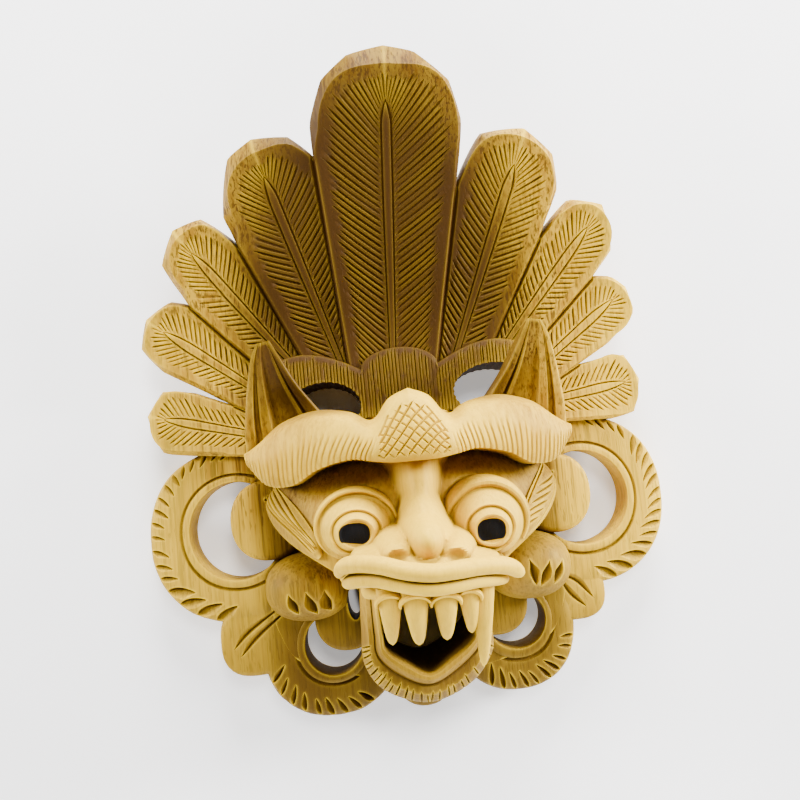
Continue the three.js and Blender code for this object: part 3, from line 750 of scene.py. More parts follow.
def brow_surface(u, t):
    """The brow's front at u from its foot (0) to its top (1), t from -1 to 1 across: straight
    between the two edge curves, with a bulge of 2.6 sin(pi u)^0.7 - 2."""
    way = np.stack([np.sign(t), np.ones_like(t), np.ones_like(t)], -1)
    low, high = BROW_FOOT(np.abs(t)) * way, BROW_TOP(np.abs(t)) * way
    bulge = 2.6 * np.sin(math.pi * np.clip(u, 0, 1)) ** 0.7 - 2
    return lerp(low, high, u[..., None]) + bulge[..., None] * np.array([0, 0, 1.0])


def brow_skin(sizes, seed):
    """The brow: rows lean with the hairs, three rows to a hair. Each hair is a V cut that rises
    from the foot and fades out below the top; the middle peak is left for its own cuts."""
    rng = np.random.default_rng(seed)
    count = int(round(104 / (sizes.hair_spacing * 1000)))
    mid = lerp(-1, 1, (np.arange(count) + 0.5 + rng.uniform(-0.12, 0.12, count)) / count)
    step = 0.31 * 2 / count
    ts = np.concatenate([[-1], (mid[:, None] + np.array([-step, 0, step])).ravel(), [1]])
    which, _, cut = in_threes(count)
    top = rng.uniform(0.74, 0.9, count)
    depth = sizes.hair_depth * 1000 * rng.uniform(0.8, 1.15, count)
    us = np.array([0, 0.05, 0.12, 0.2, 0.3, 0.4, 0.48, 0.56, 0.64, 0.7, 0.76, 0.82, 0.88, 0.94, 1])
    u, t = grid(us, ts)
    off = np.abs(t)
    lean = np.where(t < 0, 0.05, -0.02) * ease((off - 0.12) / 0.2) * ease((1 - off) / 0.45)
    leaned = np.clip(t + lean * (ease(u / 0.8) - 0.35), -1, 1)
    outside = ease((off - PEAK_SHARE) / 0.03)
    window = outside * ease((top[which][:, None] - u) / 0.4) * lerp(0.75, 1, ease(u / 0.3))
    points = brow_surface(u, leaned)
    up = unit(np.cross(brow_surface(u + 0.02, leaned) - brow_surface(u - 0.02, leaned), [1.0, 0, 0]))
    up = np.where(up[..., 2:] < 0, -up, up)
    points = points - up * (cut[:, None] * depth[which][:, None] * window)[..., None]
    points[..., 2] += 0.12 * bump_noise(points[..., 0] / 3, points[..., 1] / 3, seed)
    low, high = points[:, 0], points[:, -1]
    away = np.abs(ts)
    foot = np.stack([low[:, 0] * 0.96, low[:, 1], lerp(36, 18, away)], -1)
    behind = 2.8 * ease((1 - away) / 0.3)
    wall = np.stack([high[:, 0] * 0.97, high[:, 1] + behind, lerp(19, 14, away)], -1)
    bevel = high + np.stack([0 * away, 0.85 * behind, -2.2 * behind], -1)
    return slab(points, np.stack([foot, wall, bevel], 1))


def peak_cuts():
    """The crossed cuts on the brow's middle: long lines that rise to the right, and shallower
    ones across them that part the ribs between into pillows."""
    rising, falling = [], []
    q = np.linspace(0, 1, 60)
    for starts, run, reach, half, depth, shells in (
        (np.arange(-0.54, 0.25, 0.08), 0.34, 0.9, 0.52, 0.7, rising),
        (np.arange(-0.2, 0.62, 0.075), -0.38, 0.85, 0.4, 0.5, falling),
    ):
        for start in starts:
            t, u = start + run * q, 0.05 + reach * q
            inside = np.flatnonzero((np.abs(t) < 0.252) & (u < peak_height(t)))
            if len(inside) > 7:
                kept = inside[np.linspace(0, len(inside) - 1, 12).round().astype(int)]
                shells.append(line_cut(brow_surface, u[kept], t[kept], half, depth))
    return rising, falling


def peak_height(t):
    """How far up the brow its crossed cuts reach at t."""
    return 0.93 - 1.2 * np.maximum(0, np.abs(t) - 0.1)


def line_cut(surface, u, v, half, depth, ends=0.12):
    """A V cut along a path of u, v pairs on a surface, pointed at both ends."""
    path, up = surface_path(surface, u, v)
    q = np.linspace(0, 1, len(path))
    shape = np.sqrt(np.clip(np.minimum(q, 1 - q) / ends, 0, 1))
    return furrow(path, up, half, depth, shape)


# ---- eyes ----


def eye_skin(eye):
    """A ball, less tall than wide, with a furrow round a raised ring and a shallow dish; it
    leans towards the chin."""
    r, iris = eye["radius"], eye["iris"]
    radii = np.linspace(r - 0.06, iris + 1.0, 22)
    ball = np.stack([radii, np.sqrt(r * r - radii**2)], 1)
    steps = [
        (iris + 0.9, -0.1),
        (iris + 0.5, -0.7),
        (iris + 0.2, -1.3),
        (iris - 0.1, -1.0),
        (iris - 0.35, 0.1),
        (iris - 0.7, 0.7),
        (iris - 1.3, 0.85),
        (iris - 1.8, 0.55),
        (iris - 2.2, -0.05),
        (iris - 2.8, -0.35),
        (2.0, -0.5), (0.9, -0.55), (0.02, -0.6),
    ]
    face = np.array([(a, math.sqrt(r * r - a * a) + lift) for a, lift in steps])
    collar = [(0.02, -18), (r + 1.4, -17), (r + 1.4, 1.0), (r + 0.2, 1.5), (r - 0.3, 2.0)]
    profile = np.concatenate([collar, ball[3:], face])
    turn, radius = np.meshgrid(circle(72), profile[:, 0], indexing="ij")
    faint = (radius > iris - 0.2) & (radius < iris + 0.95)
    lift = 0.95 * (1 - ease((np.sin(turn) + 0.75) / 0.8)) * np.where(faint, 1, 0)
    z = profile[:, 1] + lift
    x, y = radius * np.cos(turn), radius * np.sin(turn) * eye["tall"]
    c, s = math.cos(eye["lean"]), math.sin(eye["lean"])
    points = [eye["side"] * (x + eye["at"][0]), c * y - s * z + eye["at"][1], s * y + c * z + eye["z"]]
    return loft(np.stack(points, -1).transpose(1, 0, 2))


def lid_skin(eye, lid):
    """A roll that arches over the ball: a tube along part of an ellipse."""
    t = np.linspace(0, 1, 60)
    a = lerp(math.radians(lid["first"]), math.radians(lid["last"]), t)
    x = eye["at"][0] + lid["wide"] * np.cos(a)
    y = eye["at"][1] + lid["wide"] * lerp(eye["tall"], 1, lid["high"]) * np.sin(a)
    path = np.stack([eye["side"] * x, y, lid["rise"] - lid["deep"] * 0.55 + 2.5 * np.sin(a)], 1)
    size = np.sin(math.pi * lerp(0.06, 0.94, t)) ** 0.6
    return tube(path, np.stack([lid["roll"] * size, lid["deep"] + 0 * size], 1), 20, 2.6)


# ---- mouth ----

UPPER_LIP = through(
    [
        [-22.4, -49.2, 69], [-20.6, -47.4, 73], [-16.5, -46.8, 77.5], [-11.5, -47.4, 81],
        [-6, -48.9, 83.5], [0, -49.9, 84.2], [6, -49.9, 83], [11.5, -49.9, 80],
        [16.5, -50.4, 76.5], [20.6, -51.6, 72.5], [23.4, -53.6, 69],
    ]
)
LOWER_LIP = through(
    [
        [-20.8, -52.0, 68], [-17.8, -51.0, 73.5], [-13, -50.9, 77.5], [-8, -52.0, 80.5],
        [-3.5, -53.1, 82], [1, -53.6, 82.2], [6, -53.5, 80.5], [11, -53.3, 77.5],
        [16, -53.9, 73], [19.8, -54.8, 69],
    ]
)


def lip_ledge(x):
    """y and height of the upper lip's crest at x."""
    path = UPPER_LIP(np.linspace(0, 1, 60))
    return np.interp(x, path[:, 0], path[:, 1]), np.interp(x, path[:, 0], path[:, 2]) + 1.8


TEETH = [
    dict(top=(-10.4, -53.6, 74.5), tip=(-10.6, -68.2, 70.5), half=(3.3, 2.8)),
    dict(top=(-4.2, -54.0, 76.8), tip=(-4.0, -68.4, 73.0), half=(3.6, 3.0)),
    dict(top=(3.3, -54.4, 76.8), tip=(3.0, -67.8, 73.0), half=(3.5, 3.0)),
    dict(top=(9.2, -54.2, 74.5), tip=(9.6, -67.2, 70.5), half=(3.0, 2.8)),
    dict(top=(13.4, -53.8, 72.5), tip=(12.2, -76.6, 66.5), half=(3.0, 2.8)),
]
JAW_INNER = through(
    [
        [-13.2, -53], [-13.2, -61], [-12.8, -69], [-12, -72.8], [-7, -76.4], [-1.2, -79.2],
        [5, -76], [11, -72.2], [12.2, -69], [13, -61], [13.2, -53],
    ]
)
JAW_OUTER = through(
    [
        [-18, -53], [-18.6, -61], [-19, -69], [-18.9, -78], [-13.6, -85.4], [-1.5, -89.3],
        [10.6, -85.4], [17.6, -77.5], [18.1, -69], [18.2, -61], [17.6, -53],
    ]
)


def lip_skin(curve, size, blunt_left, blunt_right):
    """A lip: an oval carried along a curve, tapering at its corners; each end has its own
    bluntness."""
    t = np.linspace(0, 1, 90)
    off = np.abs(2 * t - 1)
    taper = np.sqrt(np.maximum(0.02, 1 - off ** np.where(t < 0.5, blunt_left, blunt_right)))
    return tube(curve(t), np.stack([size[0] * taper, size[1] * taper], 1), 22, 2.3)


def tooth_skin(top, tip, half):
    """A flat cone with a blunt tip that bows outwards by 1.4 sin(pi t) and narrows as
    1 - 0.64 t^1.2."""
    t = np.linspace(0, 1, 18)
    path = lerp(np.array(top, float)[None], np.array(tip, float)[None], t[:, None])
    path[:, 2] += 1.4 * np.sin(math.pi * t)
    size = (1 - 0.64 * t**1.2) * np.sqrt(np.maximum(0.05, 1 - t**14))
    return tube(path, size[:, None] * np.array(half)[None], 14, 2.3)


def gum_skin():
    """The gum: a ledge under the lip that the teeth hang from."""
    t = np.linspace(0, 1, 40)
    path = np.stack([lerp(-15.2, 15.4, t), 0 * t - 55.0, 72.0 - 8 * (2 * t - 1) ** 2], 1)
    return tube(path, np.broadcast_to([2.4, 3.2], (40, 2)), 14)


def socket_skin(tooth):
    """The thin ridge of the gum that arches over a tooth's root."""
    t = np.linspace(0, 1, 24)
    a = math.pi * lerp(1.02, -0.02, t)
    x0, y0, z0 = tooth["top"]
    wide = tooth["half"][0] + 0.15
    path = np.stack([x0 + wide * np.cos(a), y0 - 4.0 + 2.4 * np.sin(a), z0 + 0.1 + 1.0 * np.sin(a)], 1)
    size = 0.45 + 0.55 * np.sin(math.pi * t)
    return tube(path, np.stack([0.95 * size, 2.9 * size], 1), 10)


JAW_PROFILE = np.array(
    [
        (0.38, 4, 0, 0), (0, 56.4, 0, 1), (0.02, 57.0, 0, 1), (0.08, 57.6, 0, 1),
        (0.17, 57.6, 0, 1), (0.26, 56.9, 0, 1), (0.31, 55.6, 0, 1), (0.35, 54.0, 0, 1),
        (0.39, 53.2, 0, 1), (0.45, 53.5, 0, 1), (0.66, 53.2, 0, 1), (0.88, 50.6, 0, 1),
        (0.96, 49.0, 0, 1), (1, 46.5, 0, 1), (1, 12, 1, 0), (0.8, 4, 1, 0),
    ]
)


def jaw_lift(t):
    """How far the jaw rises towards its ends and dips at the chin."""
    off = np.abs(2 * t - 1)
    return 11 * np.clip((off - 0.62) / 0.38, 0, 1) ** 1.4 - 3.5 * ease(off / 0.6)


def jaw_surface(t, s):
    """The fringe band outside the jaw's lip, at t along the V and s across."""
    z = np.interp(s, JAW_PROFILE[8:14, 0], JAW_PROFILE[8:14, 1]) + jaw_lift(t)
    return with_z(lerp(JAW_INNER(t), JAW_OUTER(t), s[..., None]), z)


def jaw_skin():
    """The lower jaw: one profile carried along the mouth's V, its foot spread at the chin."""
    t = np.linspace(0, 1, 110)[:, None]
    share, z, foot, rides = JAW_PROFILE.T
    xy = lerp(JAW_INNER(t + 0 * share), JAW_OUTER(t + 0 * share), share[None, :, None])
    off = np.abs(2 * t - 1)
    xy[..., 1] -= 6 * np.maximum(0, 1 - off * 2.1) * foot
    return loft(with_z(xy, z[None] + rides[None] * jaw_lift(t)))


def jaw_cuts():
    """Short uneven cuts across the fringe band of the jaw, sparser on its right side."""
    rng = np.random.default_rng(90)
    shells = []
    for at in np.concatenate([np.linspace(0.24, 0.6, 21), [0.63, 0.655, 0.69, 0.72, 0.77]]):
        start = rng.uniform(0.48, 0.66)
        s = np.linspace(start, 1.04, 8)
        t = at + rng.uniform(-0.004, 0.004) + 0.014 * (s - start) * np.sign(0.5 - at)
        half, depth = rng.uniform(0.28, 0.42), rng.uniform(0.5, 0.75)
        shells.append(line_cut(jaw_surface, t, s, half, depth, ends=0.3))
    return shells


# ---- cheeks, temple leaves, ears ----

CHEEK_AT = (34.8, -58.2)
CHEEK_HALF = (13.8, 10.6)
# The three gouges on each cheek, from their pointed tops to their feet.
CHEEK_GOUGES = {
    -1: [
        ((-40.4, -58.6), (-37.9, -65.2)),
        ((-35.0, -58.4), (-32.2, -65.6)),
        ((-29.4, -58.4), (-28.0, -65.0)),
    ],
    1: [
        ((33.4, -55.0), (35.0, -63.4)),
        ((39.9, -56.0), (36.4, -63.8)),
        ((44.2, -56.4), (40.8, -63.6)),
    ],
}


def cheek_skin(side):
    """A cheek: upright at its foot, then rounded over like a cushion."""
    rise = np.linspace(0, 1, 16)
    round_over = np.stack([np.cos(rise * 1.45) ** 0.9, 15 + 14.9 * np.sin(rise * 1.45) ** 0.86], 1)
    profile = np.concatenate([[(1, 2), (1, 8)], round_over, [(0.002, 29.95)]])
    return lobe_skin(CHEEK_AT, CHEEK_HALF, profile, side, sides=60, seed=31)


def cheek_surface(side):
    """The cheek's front over x, y."""

    def at(x, y):
        off = np.abs((x * side - CHEEK_AT[0]) / CHEEK_HALF[0]) ** 2.2
        reach = (off + np.abs((y - CHEEK_AT[1]) / CHEEK_HALF[1]) ** 2.2) ** (1 / 2.2)
        turn = np.arccos(np.clip(reach, 0, 0.999) ** (1 / 0.9)) / 1.45
        z = 15 + 14.9 * np.sin(np.clip(turn, 0, 1) * 1.45) ** 0.86
        return np.stack([x, y, z], -1)

    return at


def cheek_cuts(side):
    """The gouges on a cheek: each bows outwards a little, and is widest past its middle."""
    surface = cheek_surface(side)
    q = np.linspace(0, 1, 14)
    up = unit(np.stack([0 * q, -0.45 + 0 * q, 1 + 0 * q], -1))
    shape = np.sin(math.pi * np.clip(0.03 + 0.94 * q**1.3, 0, 1)) ** 0.8
    shells = []
    for top, foot in CHEEK_GOUGES[side]:
        x = lerp(top[0], foot[0], q) + side * 0.5 * np.sin(math.pi * q)
        path = surface(x, lerp(top[1], foot[1], q))
        shells.append(furrow(path, up, 1.8, 2.8, shape, 0.3 * side, over=2.5))
    return shells


def temple_surface(side):
    """A leaf along the temple, (across, along), domed by 2.2 - 1.2 u^2 over the head."""
    start, end = np.array([45.6, -26.5]), np.array([28.5, -47.0])
    way = end - start
    length = math.hypot(*way)

    def at(u, v, lift=0.0):
        across = u * 4.2 * np.sin(math.pi * lerp(0.14, 0.97, np.clip(v, 0, 1))) ** 0.6
        x = lerp(start[0], end[0], v) - across * way[1] / length
        y = lerp(start[1], end[1], v) + across * way[0] / length
        z = np.maximum(12, head_z(x, y)) + 2.2 - 1.2 * u * u + lift
        return np.stack([side * x, y, z], -1)

    return at


def temple_skin(side):
    """The temple leaf as a slab."""
    u, v = grid(np.linspace(-1, 1, 17), np.linspace(0, 1, 40))
    surface = temple_surface(side)
    return slab(surface(u, v), surface(u, v, -6.0)[:, [0, -1]])


def temple_cuts(side):
    """On the left leaf, long strands that wave along it. On the right one, a line inside its
    edge and slanted strokes across it."""
    surface = temple_surface(side)
    v = np.linspace(0.05, 0.94, 28)
    if side < 0:
        starts = (-0.74, -0.38, -0.02, 0.34, 0.7)
        strands = [u * (1 - 0.3 * v) + 0.2 * np.sin(5 * v + 2 * u) for u in starts]
        return [line_cut(surface, u, v, 0.42, 0.75) for u in strands], []
    edges = [line_cut(surface, way * 0.84 + 0 * v, v, 0.4, 0.7) for way in (-1, 1)]
    u = np.linspace(-0.62, 0.64, 12)
    rows = np.linspace(0.26, 0.82, 6)
    return edges, [line_cut(surface, u, at - 0.24 * u, 0.45, 0.8, ends=0.3) for at in rows]


EAR_OUTER = through([[49.5, -18, 29], [49, -8, 32], [47, 3, 36], [44.6, 12, 39.5], [42.4, 16.2, 41]])
EAR_INNER = through(
    [[20, -14, 30], [25.5, -5, 33], [31.6, 3.5, 36.5], [36.2, 12, 39.5], [38.6, 16.8, 41]]
)
# (share across, height): an outer strip, a rib, a sunk panel, a thin ridge and an inner strip
EAR_RELIEF = np.array(
    [
        (0, -0.4), (0.03, 0.1), (0.12, 0.1), (0.15, -1.2), (0.19, -1.0), (0.22, 0.0),
        (0.34, 0.0), (0.37, -1.2), (0.41, -1.5), (0.45, -1.0), (0.7, -1.0), (0.73, -0.2),
        (0.77, -0.2), (0.8, -1.5), (0.84, -0.1), (0.88, 0.2), (0.97, 0.2), (1, -0.4),
    ]
)


def ear_skin(side):
    """An ear: a pointed leaf whose relief across runs together at the tip, as 1 - v^3."""
    us = np.unique(np.concatenate([EAR_RELIEF[:, 0], np.linspace(0, 1, 13)]))
    u, v = grid(us, np.linspace(0, 1, 36))
    relief = np.interp(u, EAR_RELIEF[:, 0], EAR_RELIEF[:, 1]) * (1 - 0.85 * ease((v - 0.35) / 0.5))
    points = lerp(EAR_OUTER(v), EAR_INNER(v), u[..., None]) * [side, 1, 1]
    points[..., 2] += relief
    ends = points[:, [0, len(us) // 2, -1]].copy()
    ends[..., 2] = np.minimum(ends[..., 2] - 5, lerp(10, 34, v[:, :1] ** 1.5))
    return slab(points, ends)


# ---- hollows ----


def egg_skin(at, half, count, sides, scallop=0.0):
    """An egg with poles on Z; scallop dents it inwards between the passes of a gouge."""
    rise, turn = np.meshgrid(np.linspace(-0.5, 0.5, count) * math.pi, circle(sides), indexing="ij")
    reach = np.maximum(1e-3, np.cos(rise))
    dent = 1 - scallop * (1 - np.abs(np.sin(8 * turn + 0.9 * np.sin(3 * rise)))) * reach
    dent = dent - 0.6 * scallop * np.abs(np.sin(9 * rise)) * reach
    x = at[0] + half[0] * reach * np.cos(turn) * dent
    y = at[1] + half[1] * reach * np.sin(turn) * dent
    return loft(np.stack([x, y, at[2] + half[2] * np.sin(rise) * dent], -1))


MOUTH_FRONT = [
    [-13.4, -56], [13.2, -56], [12.6, -69], [11.2, -72.4], [5, -76.2], [-1.2, -79.4],
    [-6.8, -76.6], [-12.2, -73],
]
MOUTH_BACK = [
    [-14, -52], [15, -52], [15.5, -70], [14.8, -80.5], [7.5, -85.4], [-1, -86.2], [-8, -84.6],
    [-13.5, -81.5],
]


def mouth_skin():
    """The way through the mouth: a block between a wide outline behind and the mouth's V."""
    return loft(np.stack([with_z(np.array(MOUTH_BACK, float), -1), with_z(np.array(MOUTH_FRONT), 62)]))


# ---- shader writing ----


class Wire:
    """One output of a shader node, or its place in an expression; operators add Math nodes."""

    def __init__(self, paint, socket):
        self.paint, self.socket = paint, socket

    def math(self, operation, *values):
        """A Math node on the values."""
        return self.paint.node("ShaderNodeMath", {"operation": operation}, dict(enumerate(values)))

    def __add__(self, other):
        return self.math("ADD", self, other)

    def __radd__(self, other):
        return self.math("ADD", other, self)

    def __sub__(self, other):
        return self.math("SUBTRACT", self, other)

    def __rsub__(self, other):
        return self.math("SUBTRACT", other, self)

    def __mul__(self, other):
        return self.math("MULTIPLY", self, other)

    def __rmul__(self, other):
        return self.math("MULTIPLY", other, self)

    def __truediv__(self, other):
        return self.math("DIVIDE", self, other)

    def __pow__(self, other):
        return self.math("POWER", self, other)

    def __abs__(self):
        return self.math("ABSOLUTE", self)

    def step(self, low, high):
        """0 below low, 1 above high, smooth between."""
        values = {"Value": self, "From Min": low, "From Max": high}
        return self.paint.node("ShaderNodeMapRange", {"interpolation_type": "SMOOTHSTEP"}, values)


class Paint:
    """A material's node tree; node() adds any node and gives its output as a Wire."""

    def __init__(self, name):
        self.material = bpy.data.materials.new(name)
        self.material.use_nodes = True
        self.tree = self.material.node_tree
        self.tree.nodes.clear()

    def node(self, kind, settings=None, values=None, output=0):
        """A node with its settings, then its sockets' values or links."""
        node = self.tree.nodes.new(kind)
        for key, value in (settings or {}).items():
            setattr(node, key, value)
        for key, value in (values or {}).items():
            if isinstance(value, Wire):
                self.tree.links.new(value.socket, node.inputs[key])
            else:
                node.inputs[key].default_value = value
        return Wire(self, node.outputs[output]) if node.outputs else None

    def mix(self, factor, a, b):
        """A colour between a and b."""
        a, b = (c if isinstance(c, Wire) else (*c, 1) for c in (a, b))
        settings = {"data_type": "RGBA", "clamp_factor": True}
        return self.node("ShaderNodeMix", settings, {0: factor, 6: a, 7: b}, output=2)

    def place(self, scale, offset=(0, 0, 0)):
        """Object coordinates, scaled per axis from metres."""
        coordinates = self.node("ShaderNodeTexCoord", output=3)
        values = {"Vector": coordinates, "Scale": scale, "Location": offset}
        return self.node("ShaderNodeMapping", None, values)

    def noise(self, scale, offset, detail, rough, twist=0.0):
        """Noise between 0 and 1, with a scale for each axis."""
        vector = self.place(scale, offset)
        values = {"Vector": vector, "Scale": 1.0, "Detail": detail, "Roughness": rough}
        return self.node("ShaderNodeTexNoise", None, values | {"Distortion": twist})

    def axes(self):
        """Across, along and height in millimetres."""
        place = self.node("ShaderNodeTexCoord", output=3)
        parts = [self.node("ShaderNodeSeparateXYZ", None, {0: place}, output=i) for i in range(3)]
        return [part * 1000 for part in parts]

    def open_air(self, distance, inside=False):
        """1 where nothing is near the surface, outside it or inside the wood, and 0 in a cut."""
        settings = {"samples": 8, "inside": inside}
        return self.node("ShaderNodeAmbientOcclusion", settings, {"Distance": distance}, output=1)

    def finish(self, values):
        """Gives the material its shader."""
        shader = self.node("ShaderNodeBsdfPrincipled", None, values)
        self.node("ShaderNodeOutputMaterial", None, {"Surface": shader})
        return self.material


def oval(x, y, at, half):
    """0 at the middle of an oval and 1 on its outline, squared."""
    return abs((x - at[0]) / half[0]) ** 2 + abs((y - at[1]) / half[1]) ** 2


def wood_zones(p):
    """Where painted shade and painted highlight fall on the wood, and where the hollows' painted shade
    is eased: masks over across, along and height.
    """
    across, along, height = p.axes()
    off = abs(across)
    reach = oval(across, along, (-4, 30), (55, 80))
    above_eyes = height.step(47, 55) * (1 - along.step(2, 12))
    to_left, to_right = 1 - across.step(-54, -38), across.step(10, 60)
    # teeth and what stands as high below the lip
    proud = height.step(62, 66) * (1 - along.step(-56, -53))
    zone = {
        "proud": proud,
        # level parts, away from the raised face
        "flats": 1 - 0.75 * height.step(20, 46) * (1 - along.step(-4, 6)),
        # the middle of the crown and the headband, fully darkened as painted shade
        "crown": (1 - reach.step(0.35, 1.1)) * along.step(-16, -2) * (1 - above_eyes),
        # the outer parts and sides of the crown, paled as painted highlight
        "tips": reach.step(1.1, 2.1),
        # the middle and the left, darker than the right side as painted shade
        "left": 1 - across.step(20, 70),
        # beside the eyes, darkened as painted shade
        "shaded_temples": off.step(26, 34) * (1 - along.step(-30, -24)) * (1 - off.step(46, 52)),
        # the lower scrolls and the jaw's foot, darkened as painted shade
        "foot": (1 - along.step(-84, -48)) * (1 - height.step(52, 66)),
        # the raised face, without the jaw, paled partly as painted highlight and partly by sanding
        "face": height.step(46, 62) * (1 - along.step(6, 12)) * (along.step(-58, -54) + proud),
        # round the eyes, under the brow, where the hollows' painted shade is halved
        "sockets": height.step(24, 34) * (1 - along.step(-12, -6)) * (1 - off.step(40, 46)),
        "plate": 1 - height.step(20, 28),
        "mouth": (1 - along.step(-53, -48)) * (1 - off.step(18, 23)),
    }
    # the foot's painted shade is lighter far to the right and far to the left
    zone["foot"] = zone["foot"] * (1 - 0.4 * to_right - 0.5 * to_left)
    return zone


def wood_material(colours):
    """Pale satin wood: streaks along Y, short pores, painted shade in the hollows with a little wax,
    painted shade over the crown's middle, the left, beside the eyes and along the foot, painted
    highlight on the crown's outer parts and the raised face, paler edges that are partly wear and
    partly painted highlight, and painted pupils."""
    p = Paint("pale_wood")
    zone = wood_zones(p)
    flats, crown_shade = zone["flats"], zone["crown"]
    streak = p.noise((900, 26, 900), (0, 0, 0), 3, 0.6)
    broad = p.noise((150, 9, 150), (3, 1, 2), 2, 0.5, twist=0.4)
    cloud = p.noise((38, 24, 38), (7, 2, 5), 2, 0.5)
    line = p.noise((1300, 26, 1300), (2, 4, 6), 2, 0.6).step(0.5, 0.64)
    pore = p.noise((1500, 210, 1500), (1, 5, 9), 1, 0.5).step(0.6, 0.7) * cloud.step(0.3, 0.6)
    grain = p.noise((420, 160, 420), (0, 0, 0), 2, 0.5)
    # Ambient occlusion at four reaches: the first three give painted shade in cuts, carved hollows and
    # deep cavities, the last the paler edges
    cuts, dips, cavity = p.open_air(0.0022), p.open_air(0.012), p.open_air(0.038)
    edges = 1 - p.open_air(0.0012, inside=True).step(0.5, 0.96)
    tone = 0.5 * streak.step(0.3, 0.72) + 0.35 * broad.step(0.35, 0.68) + 0.25 * cloud
    # painted shade in the cuts and carved hollows, with a little wax that gathers there
    hollow = 1 - (cuts.step(0.3, 0.98) * 0.55 + dips.step(0.2, 0.95) * 0.45)
    # the teeth keep most of the hollows' painted shade off, the sockets under the brow half of it and
    # the plate a fifth of it
    shade_share_teeth = 1 - 0.75 * zone["proud"]
    shade_share_sockets = (1 - 0.5 * zone["sockets"] * (1 - zone["mouth"])) * (1 - 0.2 * zone["plate"])
    # deep painted shade in the mouth's cavity, where the light doesn't reach
    dark = (1 - cavity.step(0.12, 0.62)) * shade_share_teeth * zone["mouth"]
    body = p.mix(tone.step(0.2, 0.9) * lerp(0.45, 1.0, flats), colours.wood_light, colours.wood_deep)
    for factor, colour in (
        (0.8 * line * flats, colours.pore),
        (0.9 * pore * flats, colours.pore),
        # painted highlight on the crown's outer parts
        (0.45 * zone["tips"] * flats, colours.worn),
        # painted shade over the left and middle, the crown's middle, beside the eyes and along the
        # foot
        (0.25 * flats * zone["left"], colours.painted_shade),
        (crown_shade, colours.painted_shade),
        (0.4 * zone["shaded_temples"], colours.painted_shade),
        (0.8 * zone["foot"], colours.painted_shade),
        # painted highlight on the raised face, partly sanded paler wood
        (0.5 * zone["face"], colours.worn),
        # painted shade in the hollows, with a little wax; then deep painted shade in the mouth
        (0.95 * hollow * shade_share_teeth * shade_share_sockets, colours.hollow),
        (0.9 * dark, tuple(0.2 * c for c in colours.hollow)),
        # paler edges: partly wear, partly painted highlight
        (edges * (0.6 - 0.45 * crown_shade), colours.worn),
    ):
        body = p.mix(factor, body, colour)
    pupils = pupil_mask(p)
    relief = 0.5 * streak - 0.9 * pore - 0.3 * line + 0.35 * grain
    uneven = {"Strength": 0.35, "Distance": 0.00022, "Height": relief}
    return p.finish(
        {
            "Base Color": p.mix(pupils, body, colours.pupil),
            "Roughness": 0.5 + 0.16 * streak + 0.1 * pore + 0.35 * pupils,
            "Normal": p.node("ShaderNodeBump", None, uneven),
            "Specular IOR Level": 0.12,
        }
    )


# The painted pupils: middle, half width, half height and the slant of the line that cuts them below
PUPILS = [((-18.0, -40.6), 4.2, 3.0, 0.16), ((18.5, -43.0), 3.9, 3.15, -0.06)]


def pupil_mask(p):
    """1 inside the two painted pupils: an oval cut by a slanted line below."""
    x, y, z = p.axes()
    masks = []
    for at, wide, tall, slant in PUPILS:
        dx = x - (at[0] + TO_BOX_MIDDLE[0])
        dy = y - (at[1] + TO_BOX_MIDDLE[1])
        shape = abs(dx / wide) ** 2.6 + abs(dy / tall) ** 2.6
        flat = (dy + slant * dx + 0.84 * tall).step(-0.15, 0.15)
        masks.append((1 - shape.step(0.92, 1.06)) * flat)
    return (masks[0] + masks[1]) * z.step(57.5, 58.5)


def floor_material(colours):
    """A plain pale floor with a faint glow of painted light, which brightens it where it shows
    through the mask's holes, but not where it shows through the mouth and the left crown hole."""
    p = Paint("pale_floor")
    cloth = p.noise((9, 9, 9), (0, 0, 0), 3, 0.5)
    colour = p.mix(cloth.step(0.35, 0.7), colours.floor, tuple(0.96 * c for c in colours.floor))
    across, along, _ = p.axes()
    # where the painted glow is left off: under the mouth and the left crown hole
    mouth = oval(across, along, (0, -55), (21, 40))
    crown = oval(across, along, (-24, -4), (18, 14))
    under = 1 - mouth.step(0.9, 1.1) * crown.step(0.9, 1.1)
    return p.finish(
        {
            "Base Color": colour,
            "Roughness": 0.9,
            "Specular IOR Level": 0.1,
            # painted light: the floor glows
            "Emission Color": p.mix(under, colour, (0.0, 0.0, 0.0)),
            "Emission Strength": 0.45,
        }
    )


# ---- settings ----


def length(name, description, default):
    """A length in metres, shown as a distance."""
    return bpy.props.FloatProperty(
        name=name, description=description, default=default, min=0.0, max=0.02,
        unit="LENGTH", subtype="DISTANCE", precision=5,
    )


def tint(name, description, default):
    """A linear colour."""
    return bpy.props.FloatVectorProperty(
        name=name, description=description, default=default, size=3, min=0.0, max=1.0, subtype="COLOR"
    )


class MASK_PG_sizes(bpy.types.PropertyGroup):
    """Sizes of the fine cuts."""

    barb_spacing: length("Barb spacing", "Distance between barb cuts along a feather's edge", 0.0021)
    barb_depth: length("Barb depth", "Depth of the V cuts on the feathers", 0.0007)
    barb_steps: bpy.props.IntProperty(
        name="Barb steps", description="Points along each barb cut", default=13, min=4, max=40
    )
    edge_flat: length("Edge flats", "Length of the knife's flats along a feather's free edge", 0.008)
    dash_spacing: length("Dash spacing", "Distance between the upright cuts on the band", 0.00105)
    hair_spacing: length("Hair spacing", "Distance between the hairs of the brow", 0.0014)
    hair_depth: length("Hair depth", "Depth of the brow's hair cuts", 0.0005)


